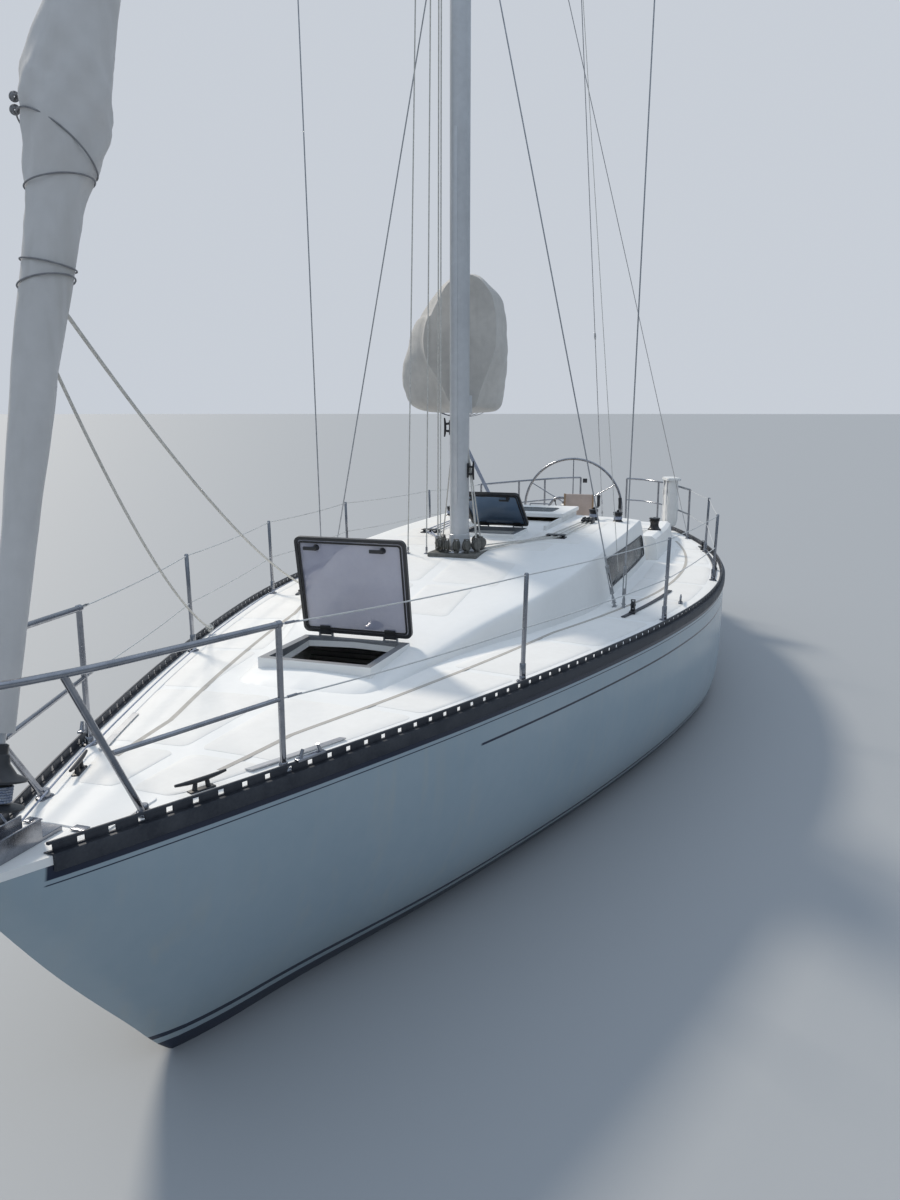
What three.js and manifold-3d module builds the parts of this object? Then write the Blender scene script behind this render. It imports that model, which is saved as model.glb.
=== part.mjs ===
// A sailing yacht, sloop rigged, 11.6 m long, afloat.
// Millimetres. +X forward, +Y to port, +Z up. The origin is amidships on the centreline at the waterline.
import * as THREE from "three";
import { mergeVertices } from "three/addons/utils/BufferGeometryUtils.js";
import Module from "manifold-3d";

const wasm = await Module();
wasm.setup();

// Driving dimensions
const LENGTH = 11600;
const BOW_X = LENGTH / 2;
const WALL = 40;
const DECK_THICK = 30;
const DECK_CAMBER = 75;
const WIDEST = 1894;
const GAP = 0.3;
const RUNNING = 5;
const MAST_X = 936;
const MAST_LONG = 190;
const MAST_WIDE = 142;
const MAST_TOP = 16600;
const BOOM_ANGLE = 20;
const BOOM_LENGTH = 4450;
const BOOM_Z = 2690;
const BOOM_TALL = 130;
const BOOM_WIDE = 90;
const GOOSENECK_X = MAST_X - MAST_LONG / 2 - 61;
const WIRE_R = 5;
const RAIL_R = 13;
const RAIL_HIGH = 600;
const WHEEL = { x: -3480, z: 1488, radius: 590, rim: 16 };
const SOLE_Z = 620;
const SEAT_Z = 1020;
const RUDDER = { x: -4750, stock: 30, top: 420, bottom: -1750 };
const PROP = { x: -3150, z: -640, angle: 9, radius: 215 };
const FORE_HATCH = { hinge: 2860, length: 590, width: 690, open: 80 };
const MID_HATCH = { hinge: -250, length: 500, width: 520, open: 38 };
const TACK = new THREE.Vector3(5660, 0, 1330);

// Hull lines by distance from the bow over the length
const HULL_LINES = [
  // t, half beam, keel line height, fullness, roundness
  [0.00, 30, 1220, 1.6, 1.0],
  [0.03, 185, 740, 1.9, 1.0],
  [0.06, 335, 316, 2.0, 1.0],
  [0.084, 450, 0, 2.0, 1.0],
  [0.12, 617, -215, 2.0, 1.05],
  [0.20, 960, -340, 3.0, 1.2],
  [0.30, 1335, -430, 3.4, 1.45],
  [0.40, 1644, -500, 3.6, 1.7],
  [0.50, 1844, -530, 4.3, 1.9],
  [0.60, 1894, -520, 6.0, 2.0],
  [0.70, 1797, -450, 6.5, 2.0],
  [0.80, 1565, -320, 4.9, 2.0],
  [0.90, 1211, -85, 2.6, 2.0],
  [1.00, 747, 235, 2.2, 2.0],
];

// Coachroof by station from aft to forward
const ROOF_LINES = [
  // x, half width at the deck, height on the centreline
  [-1750, 1130, 1600],
  [-900, 1140, 1602],
  [0, 1130, 1600],
  [936, 1095, 1574],
  [1700, 915, 1480],
  [2400, 660, 1385],
  [2900, 520, 1320],
  [3450, 430, 1288],
  [3600, 400, 1265],
  [3760, 350, 1180],
];

const MATERIALS = {
  gelcoat: { color: 0xe8eaec, roughness: 0.25, metalness: 0 },
  deck_white: { color: 0xf1f1ee, roughness: 0.6, metalness: 0 },
  keel_paint: { color: 0x27303f, roughness: 0.7, metalness: 0 },
  alloy: { color: 0xb4b7bc, roughness: 0.35, metalness: 0.9 },
  steel: { color: 0xd0d2d4, roughness: 0.15, metalness: 1 },
  sailcloth: { color: 0xcfcdc8, roughness: 0.8, metalness: 0 },
  acrylic: { color: 0x2b3542, roughness: 0.1, metalness: 0 },
  black: { color: 0x1c1e21, roughness: 0.5, metalness: 0 },
  bronze: { color: 0xa9824a, roughness: 0.3, metalness: 1 },
  wood: { color: 0x8a5a35, roughness: 0.5, metalness: 0 },
  engine_grey: { color: 0x6f757a, roughness: 0.6, metalness: 0.3 },
};

const yacht = new THREE.Group();

function blend(table, at, column) {
  // Smooth curve through a table's rows, with slopes taken from the neighbouring rows.
  const last = table.length - 1;
  const x = Math.min(Math.max(at, table[0][0]), table[last][0]);
  let i = 0;
  while (i < last - 1 && x > table[i + 1][0]) i += 1;
  const slope = (k) => {
    const a = Math.max(k - 1, 0);
    const b = Math.min(k + 1, last);
    return (table[b][column] - table[a][column]) / (table[b][0] - table[a][0]);
  };
  const span = table[i + 1][0] - table[i][0];
  const u = (x - table[i][0]) / span;
  const p0 = table[i][column];
  const p1 = table[i + 1][column];
  const rise = 3 * u * u - 2 * u * u * u;
  const lead = u * u * u - 2 * u * u + u;
  const trail = u * u * u - u * u;
  return p0 * (1 - rise) + p1 * rise + span * (slope(i) * lead + slope(i + 1) * trail);
}

const halfBeam = (t) => blend(HULL_LINES, t, 1);
const sheer = (t) => 1251 - 260 * t + 86 * t * t;
const along = (x) => (BOW_X - x) / LENGTH;
const radians = (degrees) => degrees * Math.PI / 180;

function deckHeight(x, y) {
  const t = along(x);
  const half = halfBeam(t);
  const across = Math.min(Math.abs(y) / half, 1);
  return sheer(t) + DECK_CAMBER * (half / WIDEST) * (1 - across * across);
}

function toSolid(geometry) {
  const bare = geometry.index ? geometry.clone() : geometry;
  bare.deleteAttribute("normal");
  bare.deleteAttribute("uv");
  const merged = mergeVertices(bare, 1e-3);
  return new wasm.Manifold(new wasm.Mesh({
    numProp: 3,
    vertProperties: new Float32Array(merged.attributes.position.array),
    triVerts: new Uint32Array(merged.index.array),
  }));
}

function toGeometry(solid) {
  const mesh = solid.getMesh();
  const geometry = new THREE.BufferGeometry();
  geometry.setAttribute("position", new THREE.BufferAttribute(mesh.vertProperties, 3));
  geometry.setIndex(new THREE.BufferAttribute(mesh.triVerts, 1));
  geometry.computeVertexNormals();
  return geometry;
}

function unite(solids) {
  return solids.reduce((sum, next) => sum.add(next));
}

function piece(name, solid, material) {
  const mesh = new THREE.Mesh(toGeometry(solid), new THREE.MeshStandardMaterial(MATERIALS[material]));
  mesh.name = name;
  yacht.add(mesh);
  return mesh;
}

function loft(rings) {
  // Closed body through rings of equal point count, with a flat cap on each end ring.
  const count = rings[0].length;
  const positions = rings.flat(2);
  const index = [];
  for (let r = 0; r < rings.length - 1; r += 1) {
    for (let k = 0; k < count; k += 1) {
      const a = r * count + k;
      const b = r * count + (k + 1) % count;
      index.push(a, b, b + count, a, b + count, a + count);
    }
  }
  const cap = (ring, start, flip) => {
    const spans = [0, 1, 2].map((axis) => {
      const values = ring.map((point) => point[axis]);
      return Math.max(...values) - Math.min(...values);
    });
    const drop = spans.indexOf(Math.min(...spans));
    const kept = [0, 1, 2].filter((axis) => axis !== drop);
    const flat = ring.map((point) => new THREE.Vector2(point[kept[0]], point[kept[1]]));
    const backwards = THREE.ShapeUtils.isClockWise(flat);
    for (const face of THREE.ShapeUtils.triangulateShape(flat, [])) {
      const [a, b, c] = face.map((corner) => corner + start);
      index.push(...(flip !== backwards ? [a, c, b] : [a, b, c]));
    }
  };
  cap(rings[0], 0, false);
  cap(rings[rings.length - 1], (rings.length - 1) * count, true);
  const geometry = new THREE.BufferGeometry();
  geometry.setAttribute("position", new THREE.BufferAttribute(new Float32Array(positions), 3));
  geometry.setIndex(orient(index, positions, (rings.length - 1) * count * 6));
  return toSolid(geometry);
}

function orient(index, positions, sides) {
  // Each cap is turned to agree with the side edges it meets, then all faces are turned outwards.
  const result = index.slice();
  const turn = (start, end) => {
    for (let i = start; i < end; i += 3) [result[i + 1], result[i + 2]] = [result[i + 2], result[i + 1]];
  };
  const edges = new Set();
  for (let i = 0; i < sides; i += 3) {
    for (let k = 0; k < 3; k += 1) edges.add(`${result[i + k]}_${result[i + (k + 1) % 3]}`);
  }
  const capSize = (result.length - sides) / 2;
  for (const start of [sides, sides + capSize]) {
    let agrees = 0;
    for (let i = start; i < start + capSize; i += 3) {
      for (let k = 0; k < 3; k += 1) {
        if (edges.has(`${result[i + k]}_${result[i + (k + 1) % 3]}`)) agrees -= 1;
        if (edges.has(`${result[i + (k + 1) % 3]}_${result[i + k]}`)) agrees += 1;
      }
    }
    if (agrees < 0) turn(start, start + capSize);
  }
  const corner = (i) => new THREE.Vector3(...positions.slice(3 * i, 3 * i + 3));
  let volume = 0;
  for (let i = 0; i < result.length; i += 3) {
    volume += corner(result[i]).dot(corner(result[i + 1]).cross(corner(result[i + 2])));
  }
  if (volume < 0) turn(0, result.length);
  return result;
}

function box(x0, x1, y0, y1, z0, z1) {
  const geometry = new THREE.BoxGeometry(x1 - x0, y1 - y0, z1 - z0);
  geometry.translate((x0 + x1) / 2, (y0 + y1) / 2, (z0 + z1) / 2);
  return toSolid(geometry);
}

function bar(from, to, radius, sides = 10, farRadius = radius) {
  const a = new THREE.Vector3(...from);
  const b = new THREE.Vector3(...to);
  const geometry = new THREE.CylinderGeometry(farRadius, radius, a.distanceTo(b), sides);
  const direction = b.clone().sub(a).normalize();
  geometry.applyQuaternion(new THREE.Quaternion().setFromUnitVectors(new THREE.Vector3(0, 1, 0), direction));
  const middle = a.add(b).multiplyScalar(0.5);
  geometry.translate(middle.x, middle.y, middle.z);
  return toSolid(geometry);
}

function wire(points, radius, sides = 8) {
  // A steep wire through its corner points, on level rings.
  return loft(points.map((point) => Array.from({ length: sides }, (_, k) => {
    const a = 2 * Math.PI * k / sides;
    return [point[0] + Math.cos(a) * radius, point[1] + Math.sin(a) * radius, point[2]];
  })));
}

function tube(points, radius, steps, sides = 4) {
  const curve = new THREE.CatmullRomCurve3(points.map((p) => new THREE.Vector3(...p)), false, "centripetal");
  const shape = new THREE.Shape();
  shape.absarc(0, 0, radius, 0, 2 * Math.PI);
  const geometry = new THREE.ExtrudeGeometry(shape, { steps, extrudePath: curve, curveSegments: sides });
  return toSolid(geometry);
}

function turned(profile, at, sides = 20) {
  // A round body about an upright axis, its profile given as radius and height pairs.
  const geometry = new THREE.LatheGeometry(profile.map(([r, z]) => new THREE.Vector2(r, z)), sides);
  geometry.rotateX(Math.PI / 2);
  geometry.translate(...at);
  return toSolid(geometry);
}

function hullRing(t, grow, topZ) {
  // One section from the port sheer under the keel to the starboard sheer.
  const x = BOW_X - LENGTH * t;
  const half = halfBeam(t);
  const keel = blend(HULL_LINES, t, 2);
  const full = blend(HULL_LINES, t, 3);
  const round = blend(HULL_LINES, t, 4);
  const rise = sheer(t) - keel;
  const tuck = 0.16 * THREE.MathUtils.smoothstep(t, 0.88, 1);
  const side = [];
  const steps = 11;
  for (let k = 0; k <= steps; k += 1) {
    const s = Math.pow(k / steps, 1.5);
    const y = half * Math.pow(1 - Math.pow(1 - s, full), 1 / round) * (1 + grow / half);
    const z = keel - grow + s * (rise + grow);
    side.push([x + tuck * (sheer(t) - z), y, topZ === undefined ? z : Math.min(z, topZ(t))]);
  }
  const top = side[side.length - 1];
  if (topZ !== undefined) side.push([top[0], top[1], topZ(t)]);
  const starboard = side.slice(1).map(([px, py, pz]) => [px, -py, pz]);
  return [...side.reverse(), ...starboard];
}

const STATIONS = [0, 0.015, 0.03, 0.05, 0.07, 0.084, 0.1, 0.12, 0.16, 0.2, 0.25, 0.3, 0.36, 0.42, 0.48, 0.54,
  0.6, 0.66, 0.72, 0.78, 0.83, 0.88, 0.92, 0.96, 1];

function hullBody(grow) {
  return loft(STATIONS.map((t) => hullRing(t, grow)));
}

function hullCavity(shrink) {
  const inside = STATIONS.filter((t) => t > 0.04 && t < 0.99);
  return loft([...inside, 0.992].map((t) => hullRing(t, -shrink)));
}

function plateGrid(stations, width, topAt, bottomAt) {
  // A slab between two surfaces over the same stations, closed at its edges.
  const across = [-1, -0.8, -0.55, -0.28, 0, 0.28, 0.55, 0.8, 1];
  return loft(stations.map((t) => {
    const x = BOW_X - LENGTH * t;
    const half = width(t);
    const top = across.map((f) => [x, f * half, topAt(x, f * half)]);
    const bottom = across.map((f) => [x, f * half, bottomAt(x, f * half)]).reverse();
    return [...top, ...bottom];
  }));
}

function deckBlock(lift) {
  // Everything below the deck's surface, out past its edges, on the deck's own grid of facets.
  const across = [-1, -0.8, -0.55, -0.28, 0, 0.28, 0.55, 0.8, 1];
  return loft([-0.05, ...STATIONS, 1.05].map((t) => {
    const x = BOW_X - LENGTH * t;
    const half = halfBeam(t);
    const edge = deckHeight(x, half) + lift;
    const top = across.map((f) => [x, f * half, deckHeight(x, f * half) + lift]);
    return [[x, -2300, edge], ...top, [x, 2300, edge], [x, 2300, -900], [x, -2300, -900]];
  }));
}

function deckLid() {
  // Everything above the underside of the deck.
  return loft([-0.05, ...STATIONS, 1.05].map((t) => {
    const x = BOW_X - LENGTH * t;
    const under = sheer(t) - DECK_THICK - GAP;
    return [[x, -2300, under], [x, 2300, under], [x, 2300, 3500], [x, -2300, 3500]];
  }));
}

function roofRing([x, half, height], grow) {
  const edgeRail = sheer(along(x));
  const edge = Math.max(height - 70, edgeRail - 60);
  const shoulder = half - 0.2 * Math.max(edge - edgeRail, 0);
  const side = [
    [x, half + grow, edgeRail - 260],
    [x, half + grow, edgeRail - 100],
    [x, shoulder + grow, edge + grow],
    [x, shoulder - 45 + grow, edge + (height - edge) * 0.54 + grow],
    [x, shoulder * 0.6, edge + (height - edge) * 0.83 + grow],
    [x, 0, height + grow],
  ];
  const port = side.slice(0, -1);
  const starboard = port.map(([px, py, pz]) => [px, -py, pz]).reverse();
  return [...port, side[side.length - 1], ...starboard];
}

function roofBody(grow) {
  const rows = ROOF_LINES.map((row) => [...row]);
  rows[0][0] -= grow;
  return loft(rows.map((row) => roofRing(row, grow)));
}

function roofHeight(x) {
  return blend(ROOF_LINES, x, 2);
}

function raised(solid) {
  // Cuts a fitting's foot to the deck and the coachroof that it stands on.
  return solid.subtract(standing);
}

const deckTop = deckBlock(GAP);
const roofTop = roofBody(GAP);
const standing = deckTop.add(roofTop);
const cavity = hullCavity(WALL + GAP);

// Hull, deck and what is moulded with them
function makeHull() {
  const trimmed = hullBody(0).subtract(deckLid());
  const rudderTube = bar([RUDDER.x, 0, -600], [RUDDER.x, 0, 300], RUDDER.stock + 0.8, 20);
  return trimmed.subtract(hullCavity(WALL)).subtract(rudderTube);
}

function cabinHole() {
  const inset = 70;
  const rows = ROOF_LINES.filter(([x]) => x < 2700).map(([x, half]) => [Math.max(x, -1600), half - inset]);
  return loft(rows.map(([x, half]) => [
    [x, -half, 700],
    [x, half, 700],
    [x, half, 1900],
    [x, -half, 1900],
  ]));
}

function foreHatchHole(grow) {
  const { hinge, length, width } = FORE_HATCH;
  const inset = 55 - grow;
  return box(hinge + inset, hinge + length - inset, -width / 2 + inset, width / 2 - inset, 700, 2000);
}

function midHatchHole(grow) {
  const { hinge, length, width } = MID_HATCH;
  const inset = 50 - grow;
  return box(hinge + inset, hinge + length - inset, -width / 2 + inset, width / 2 - inset, 1300, 2000);
}

const COCKPIT = { front: -1780, foot: 360, helm: 680, helmFront: -3000, helmBack: -4250, wall: 30 };

const COCKPIT_LINES = [
  // x, half width inside the coamings, coaming top
  [-1800, 1000, 1400],
  [-3000, 1000, 1370],
  [-4000, 930, 1310],
  [-4700, 780, 1190],
];

function cockpitSlab(grow, low, high) {
  const last = COCKPIT_LINES.length - 1;
  return loft(COCKPIT_LINES.map(([x, half], i) => {
    const at = x + (i === 0 ? grow : 0) - (i === last ? grow : 0);
    const out = half + grow;
    return [[at, -out, low], [at, out, low], [at, out, high], [at, -out, high]];
  }));
}

function makeDeck() {
  const slab = plateGrid(STATIONS, (t) => halfBeam(t), deckHeight, (x) => sheer(along(x)) - DECK_THICK);
  return slab.subtract(cabinHole()).subtract(foreHatchHole(0)).subtract(cockpitSlab(COCKPIT.wall + 5, 700, 2000));
}

function makeCoachroof() {
  const skin = 35;
  const inside = loft(ROOF_LINES.filter(([x]) => x < 3500).map(([x, half, height]) => {
    const at = Math.max(x, -1750 + skin);
    return roofRing([at, half - skin, height - skin], 0);
  }));
  const doorway = box(-1900, -1100, -310, 310, 1200, 2000);
  const rails = [-1, 1].map((side) => box(-1750, -380, side * 372 - 14, side * 372 + 14, 1560, 1640));
  let roof = roofBody(0).subtract(inside).subtract(deckTop);
  roof = unite([roof, ...rails.map((rail) => rail.subtract(inside))]);
  roof = roof.subtract(doorway).subtract(foreHatchHole(0)).subtract(midHatchHole(0));
  for (const side of [-1, 1]) roof = roof.subtract(windowBlock(side, 0));
  return roof;
}

function windowBlock(side, inset) {
  // The long side light, a block through the leaning side of the coachroof.
  const outline = [
    // x, z, and the way in from that corner
    [-1600, 1240, 1, 1],
    [380, 1266, -2, 1],
    [500, 1490, -1, -1],
    [-1600, 1430, 1, -1],
  ];
  const rings = [700, 1500].map((y) => outline.map(([x, z, dx, dz]) => [x + dx * inset, side * y, z + dz * inset]));
  return loft(rings);
}

function makeWindow(side) {
  return windowBlock(side, 0.5).intersect(roofBody(-6)).subtract(roofBody(-16));
}

function makeCockpit() {
  const { front, foot, helm, helmFront, helmBack, wall } = COCKPIT;
  const well = box(helmFront - 1, front - 60, -foot, foot, SOLE_Z, 2000);
  const stand = box(helmBack, helmFront, -helm, helm, SOLE_Z, 2000);
  const wellShell = box(helmFront - 1, front - 60 + wall, -foot - wall, foot + wall, SOLE_Z - wall, SEAT_Z);
  const standShell = box(helmBack - wall, helmFront + wall, -helm - wall, helm + wall, SOLE_Z - wall, SEAT_Z);
  const tray = cockpitSlab(wall, SEAT_Z - wall, 1130).subtract(cockpitSlab(0, SEAT_Z, 1200));
  const coamings = [-1, 1].map((side) => coaming(side));
  return unite([wellShell, standShell, tray, ...coamings])
    .subtract(well)
    .subtract(stand);
}

function coaming(side) {
  // The raised edge beside a seat, lower towards the stern, its foot on the side deck.
  const { wall } = COCKPIT;
  const ridge = loft(COCKPIT_LINES.map(([x, inner, top]) => [
    [x, side * inner, 1000],
    [x, side * (inner + 240), 1000],
    [x, side * (inner + 190), top - 30],
    [x, side * (inner + 150), top],
    [x, side * (inner + 40), top],
    [x, side * inner, top - 30],
  ]));
  const upstand = loft(COCKPIT_LINES.map(([x, inner]) => [
    [x, side * inner, SEAT_Z - wall],
    [x, side * (inner + wall), SEAT_Z - wall],
    [x, side * (inner + wall), 1165],
    [x, side * inner, 1165],
  ]));
  return ridge.subtract(deckTop).add(upstand);
}

piece("hull_shell", makeHull(), "gelcoat");
piece("deck", makeDeck(), "deck_white");
piece("coachroof", makeCoachroof(), "deck_white");
piece("cockpit", makeCockpit(), "deck_white");
piece("cabin_sole", box(-1100, 3000, -1500, 1500, -245, -220).intersect(cavity), "wood");
for (const [name, side] of [["window_port", 1], ["window_stbd", -1]]) {
  piece(name, makeWindow(side), "acrylic");
}

// Engine block on its two bearers
const engineBody = box(-1960, -1230, -250, 250, -250, 330);
const bearers = [-1, 1].map((side) => box(-2000, -1200, side * 190 - 30, side * 190 + 30, -700, -240));
piece("engine_block", unite([engineBody, ...bearers]).intersect(cavity), "engine_grey");

// Keel, rudder and propeller
function foilRing(leading, chord, thick, z) {
  // A streamlined section, round at the front and thin at the back.
  const side = [0, 0.03, 0.1, 0.25, 0.45, 0.7, 1].map((f) => {
    const half = thick * 2.6 * (0.38 * Math.sqrt(f) - 0.16 * f - 0.22 * f * f) + 2;
    return [leading - chord * f, half];
  });
  const port = side.map(([x, y]) => [x, y, z]);
  const starboard = side.map(([x, y]) => [x, -y, z]).reverse();
  return [...port, ...starboard];
}

function makeKeel() {
  const fin = loft([
    foilRing(1050, 2050, 250, -300),
    foilRing(780, 1640, 200, -1100),
    foilRing(600, 1380, 170, -1700),
    foilRing(640, 1600, 260, -1850),
    foilRing(600, 1560, 250, -1975),
    foilRing(500, 1300, 120, -2030),
  ]);
  return fin.subtract(hullBody(GAP));
}

function makeRudder() {
  const blade = loft([
    foilRing(RUDDER.x + 150, 560, 90, -30),
    foilRing(RUDDER.x + 130, 540, 86, -600),
    foilRing(RUDDER.x + 95, 460, 70, -1250),
    foilRing(RUDDER.x + 50, 340, 44, RUDDER.bottom),
  ]);
  const clearance = hullBody(12);
  const stock = bar([RUDDER.x, 0, -400], [RUDDER.x, 0, RUDDER.top], RUDDER.stock, 20);
  return blade.subtract(clearance).add(stock);
}

const slope = radians(PROP.angle);
const onShaft = (run) => [PROP.x + run * Math.cos(slope), 0, PROP.z + run * Math.sin(slope)];

function makePropeller() {
  const hub = bar(onShaft(-70), onShaft(90), 38, 16);
  const cone = bar(onShaft(-130), onShaft(-70), 14, 16, 38);
  const shaft = bar(onShaft(80), onShaft(960), 15, 14);
  const blades = [0, 120, 240].map((turn) => {
    const geometry = new THREE.SphereGeometry(1, 10, 7);
    geometry.scale(9, 72, 100);
    geometry.rotateZ(radians(32));
    geometry.translate(0, 0, PROP.radius - 100);
    geometry.rotateX(radians(turn));
    geometry.rotateY(-slope);
    geometry.translate(PROP.x, 0, PROP.z);
    return toSolid(geometry);
  });
  return unite([hub, cone, shaft, ...blades]);
}

function makeStrut() {
  const boss = bar(onShaft(160), onShaft(290), 36, 16);
  const leg = loft([
    foilRing(onShaft(270)[0], 110, 26, onShaft(225)[2]),
    foilRing(onShaft(270)[0] + 60, 130, 30, -250),
  ]);
  return unite([boss, leg]).subtract(bar(onShaft(100), onShaft(350), 15.7, 16)).subtract(hullBody(GAP));
}

function makeShaftLog() {
  const boss = bar(onShaft(700), onShaft(1500), 34, 16, 70);
  return boss.subtract(bar(onShaft(600), onShaft(1010), 15.7, 16)).subtract(hullBody(GAP));
}

piece("fin_keel", makeKeel(), "keel_paint");
piece("rudder", makeRudder(), "gelcoat");
piece("propeller", makePropeller(), "bronze");
piece("shaft_strut", makeStrut(), "bronze");
piece("shaft_log", makeShaftLog(), "gelcoat");

// Deck edge and rails
function makeToeRail(side) {
  const section = [[0.8, -52], [14, -52], [14, 9], [-10, 9], [-10, 46], [-22, 46], [-22, 9], [-36, 9],
    [-36, 4.2], [0.8, 1.4]];
  const stations = STATIONS.filter((t) => t > 0.02 && t < 0.98);
  return loft(stations.map((t) => section.map(([dy, dz]) => [
    BOW_X - LENGTH * t, side * (halfBeam(t) + dy), sheer(t) + dz,
  ])));
}

function deckPoint(x, inboard, up, side = 1) {
  const y = halfBeam(along(x)) - inboard;
  return [x, side * y, deckHeight(x, y) + up];
}

function footedPost(x, side) {
  const foot = deckPoint(x, 85, -30, side);
  const lean = [0, side * 14, RAIL_HIGH + 30];
  const top = foot.map((value, axis) => value + lean[axis]);
  const plate = bar(foot, foot.map((v, axis) => v + (axis === 2 ? 45 : 0)), 38, 12);
  return raised(unite([bar(foot, top, 12.5, 10), plate]));
}

const STANCHIONS = [3000, 1040, -920, -2880];
for (const [name, side] of [["port", 1], ["stbd", -1]]) {
  piece(`toe_rail_${name}`, makeToeRail(side), "alloy");
  STANCHIONS.forEach((x, i) => piece(`stanchion_${name}_${i + 1}`, footedPost(x, side), "steel"));
}

function makePulpit() {
  const rail = (side, up) => [
    deckPoint(4630, 60, up, side),
    [5150, side * 360, deckHeight(5150, 0) + up],
    [5560, side * 250, deckHeight(5560, 0) + up + 10],
    [5800, side * 130, deckHeight(5800, 0) + up + 20],
  ];
  const top = [...rail(1, RAIL_HIGH), ...rail(-1, RAIL_HIGH).reverse()];
  const legs = [-1, 1].flatMap((side) => [
    bar(deckPoint(4630, 60, -30, side), deckPoint(4630, 60, RAIL_HIGH, side), RAIL_R, 8),
    bar([5180, side * 215, deckHeight(5180, 215) - 30], rail(side, RAIL_HIGH)[2], RAIL_R, 8),
    bar(deckPoint(4630, 60, 300, side), [5330, side * 225, deckHeight(5330, 0) + 275], 10, 8),
  ]);
  return raised(unite([tube(top, RAIL_R, 22), ...legs]));
}

function makePushpit(side) {
  const path = (up) => [
    deckPoint(-4050, 75, up, side),
    deckPoint(-4900, 75, up, side),
    deckPoint(-5450, 90, up, side),
    [-5690, side * 560, deckHeight(-5690, 560) + up],
    [-5690, side * 330, deckHeight(-5690, 330) + up],
  ];
  const top = path(RAIL_HIGH);
  const low = path(300);
  const feet = path(-30);
  const legs = [0, 1, 2, 4].map((i) => bar(feet[i], top[i], RAIL_R, 8));
  return raised(unite([tube(top, RAIL_R, 18), tube(low, 10, 18), ...legs]));
}

function makeStemFitting() {
  const plate = box(5390, 5790, -28, 28, 1150, 1262);
  const cheeks = [-1, 1].map((side) => box(5480, 5870, side * 40 - 4, side * 40 + 4, 1235, 1330));
  const floor = box(5390, 5850, -44, 44, 1250, 1266);
  const eye = box(TACK.x - 40, TACK.x + 40, -6, 6, 1260, TACK.z - 1.1);
  return unite([plate, floor, ...cheeks, eye]).subtract(hullBody(GAP)).subtract(deckTop);
}

piece("pulpit", makePulpit(), "steel");
piece("pushpit_port", makePushpit(1), "steel");
piece("pushpit_stbd", makePushpit(-1), "steel");
piece("stem_fitting", makeStemFitting(), "steel");

// Hatches, the sliding companionway hatch and its boards
const HINGE = { back: 6, up: 16, barrel: 11, half: 35, pin: 3, bore: 3.6, cheek: 10 };

function hatchFrame(hatch, z, hole) {
  // A rim on the deck, with two pairs of cheeks that hold the hinge pins behind it.
  const { hinge, length, width } = hatch;
  const axisX = hinge - HINGE.back;
  const axisZ = z + HINGE.up;
  const reach = HINGE.half + HINGE.cheek + 1;
  const rim = box(hinge + 12, hinge + length - 12, -width / 2 + 12, width / 2 - 12, z - 160, z);
  const hinges = [-1, 1].flatMap((side) => {
    const y = side * width * 0.3;
    const pad = box(axisX - 14, hinge + 14, y - reach, y + reach, z - 160, z - 2);
    const pin = bar([axisX, y - reach + 2, axisZ], [axisX, y + reach - 2, axisZ], HINGE.pin, 12);
    const cheeks = [-reach, HINGE.half + 1].map((from) => (
      box(axisX - 8, axisX + 4, y + from, y + from + HINGE.cheek, z - 10, axisZ + 4)));
    return [pad, pin, ...cheeks];
  });
  return raised(unite([rim, ...hinges]).subtract(hole(0.3)));
}

function hatchLid(hatch, z) {
  // Built closed about its hinge line, then opened to its angle at rest.
  const { hinge, length, width, open } = hatch;
  const low = RUNNING - HINGE.up;
  const frame = box(HINGE.back, HINGE.back + length, -width / 2, width / 2, low, low + 26);
  const barrel = (side, radius, half) => {
    const y = side * width * 0.3;
    return bar([0, y - half, 0], [0, y + half, 0], radius, 12);
  };
  const barrels = [-1, 1].map((side) => barrel(side, HINGE.barrel, HINGE.half));
  const bores = [-1, 1].map((side) => barrel(side, HINGE.bore, HINGE.half + 5));
  const geometry = toGeometry(unite([frame, ...barrels]).subtract(unite(bores)));
  geometry.rotateY(-radians(open));
  geometry.translate(hinge - HINGE.back, 0, z + HINGE.up);
  return toSolid(geometry);
}

const FORE_Z = 1330;
const MID_Z = 1632;
piece("fore_hatch_frame", hatchFrame(FORE_HATCH, FORE_Z, foreHatchHole), "black");
piece("fore_hatch_lid", hatchLid(FORE_HATCH, FORE_Z), "acrylic");
piece("mid_hatch_frame", hatchFrame(MID_HATCH, MID_Z, midHatchHole), "black");
piece("mid_hatch_lid", hatchLid(MID_HATCH, MID_Z), "acrylic");
piece("companionway_hatch", box(-1800, -1030, -400, 400, 1640.5, 1680), "deck_white");
piece("washboards", box(-1775, -1750.3, -335, 335, 1205, 1634), "acrylic");

// Mast, boom, sails and standing rigging
function ovalRing(z, long, wide, x = MAST_X, count = 16) {
  return Array.from({ length: count }, (_, k) => {
    const a = 2 * Math.PI * k / count;
    return [x + Math.cos(a) * long / 2, Math.sin(a) * wide / 2, z];
  });
}

const STEP_Z = roofHeight(MAST_X) + 26;
const VANG_Z = STEP_Z + 190;

function lugs(z, reach) {
  const plates = [-1, 1].map((end) => box(GOOSENECK_X - 24, MAST_X - 60, -22, 22, z + end * reach - 4, z + end * reach + 4));
  return unite([...plates, bar([GOOSENECK_X, 0, z - reach], [GOOSENECK_X, 0, z + reach], 7, 16)]);
}

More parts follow.
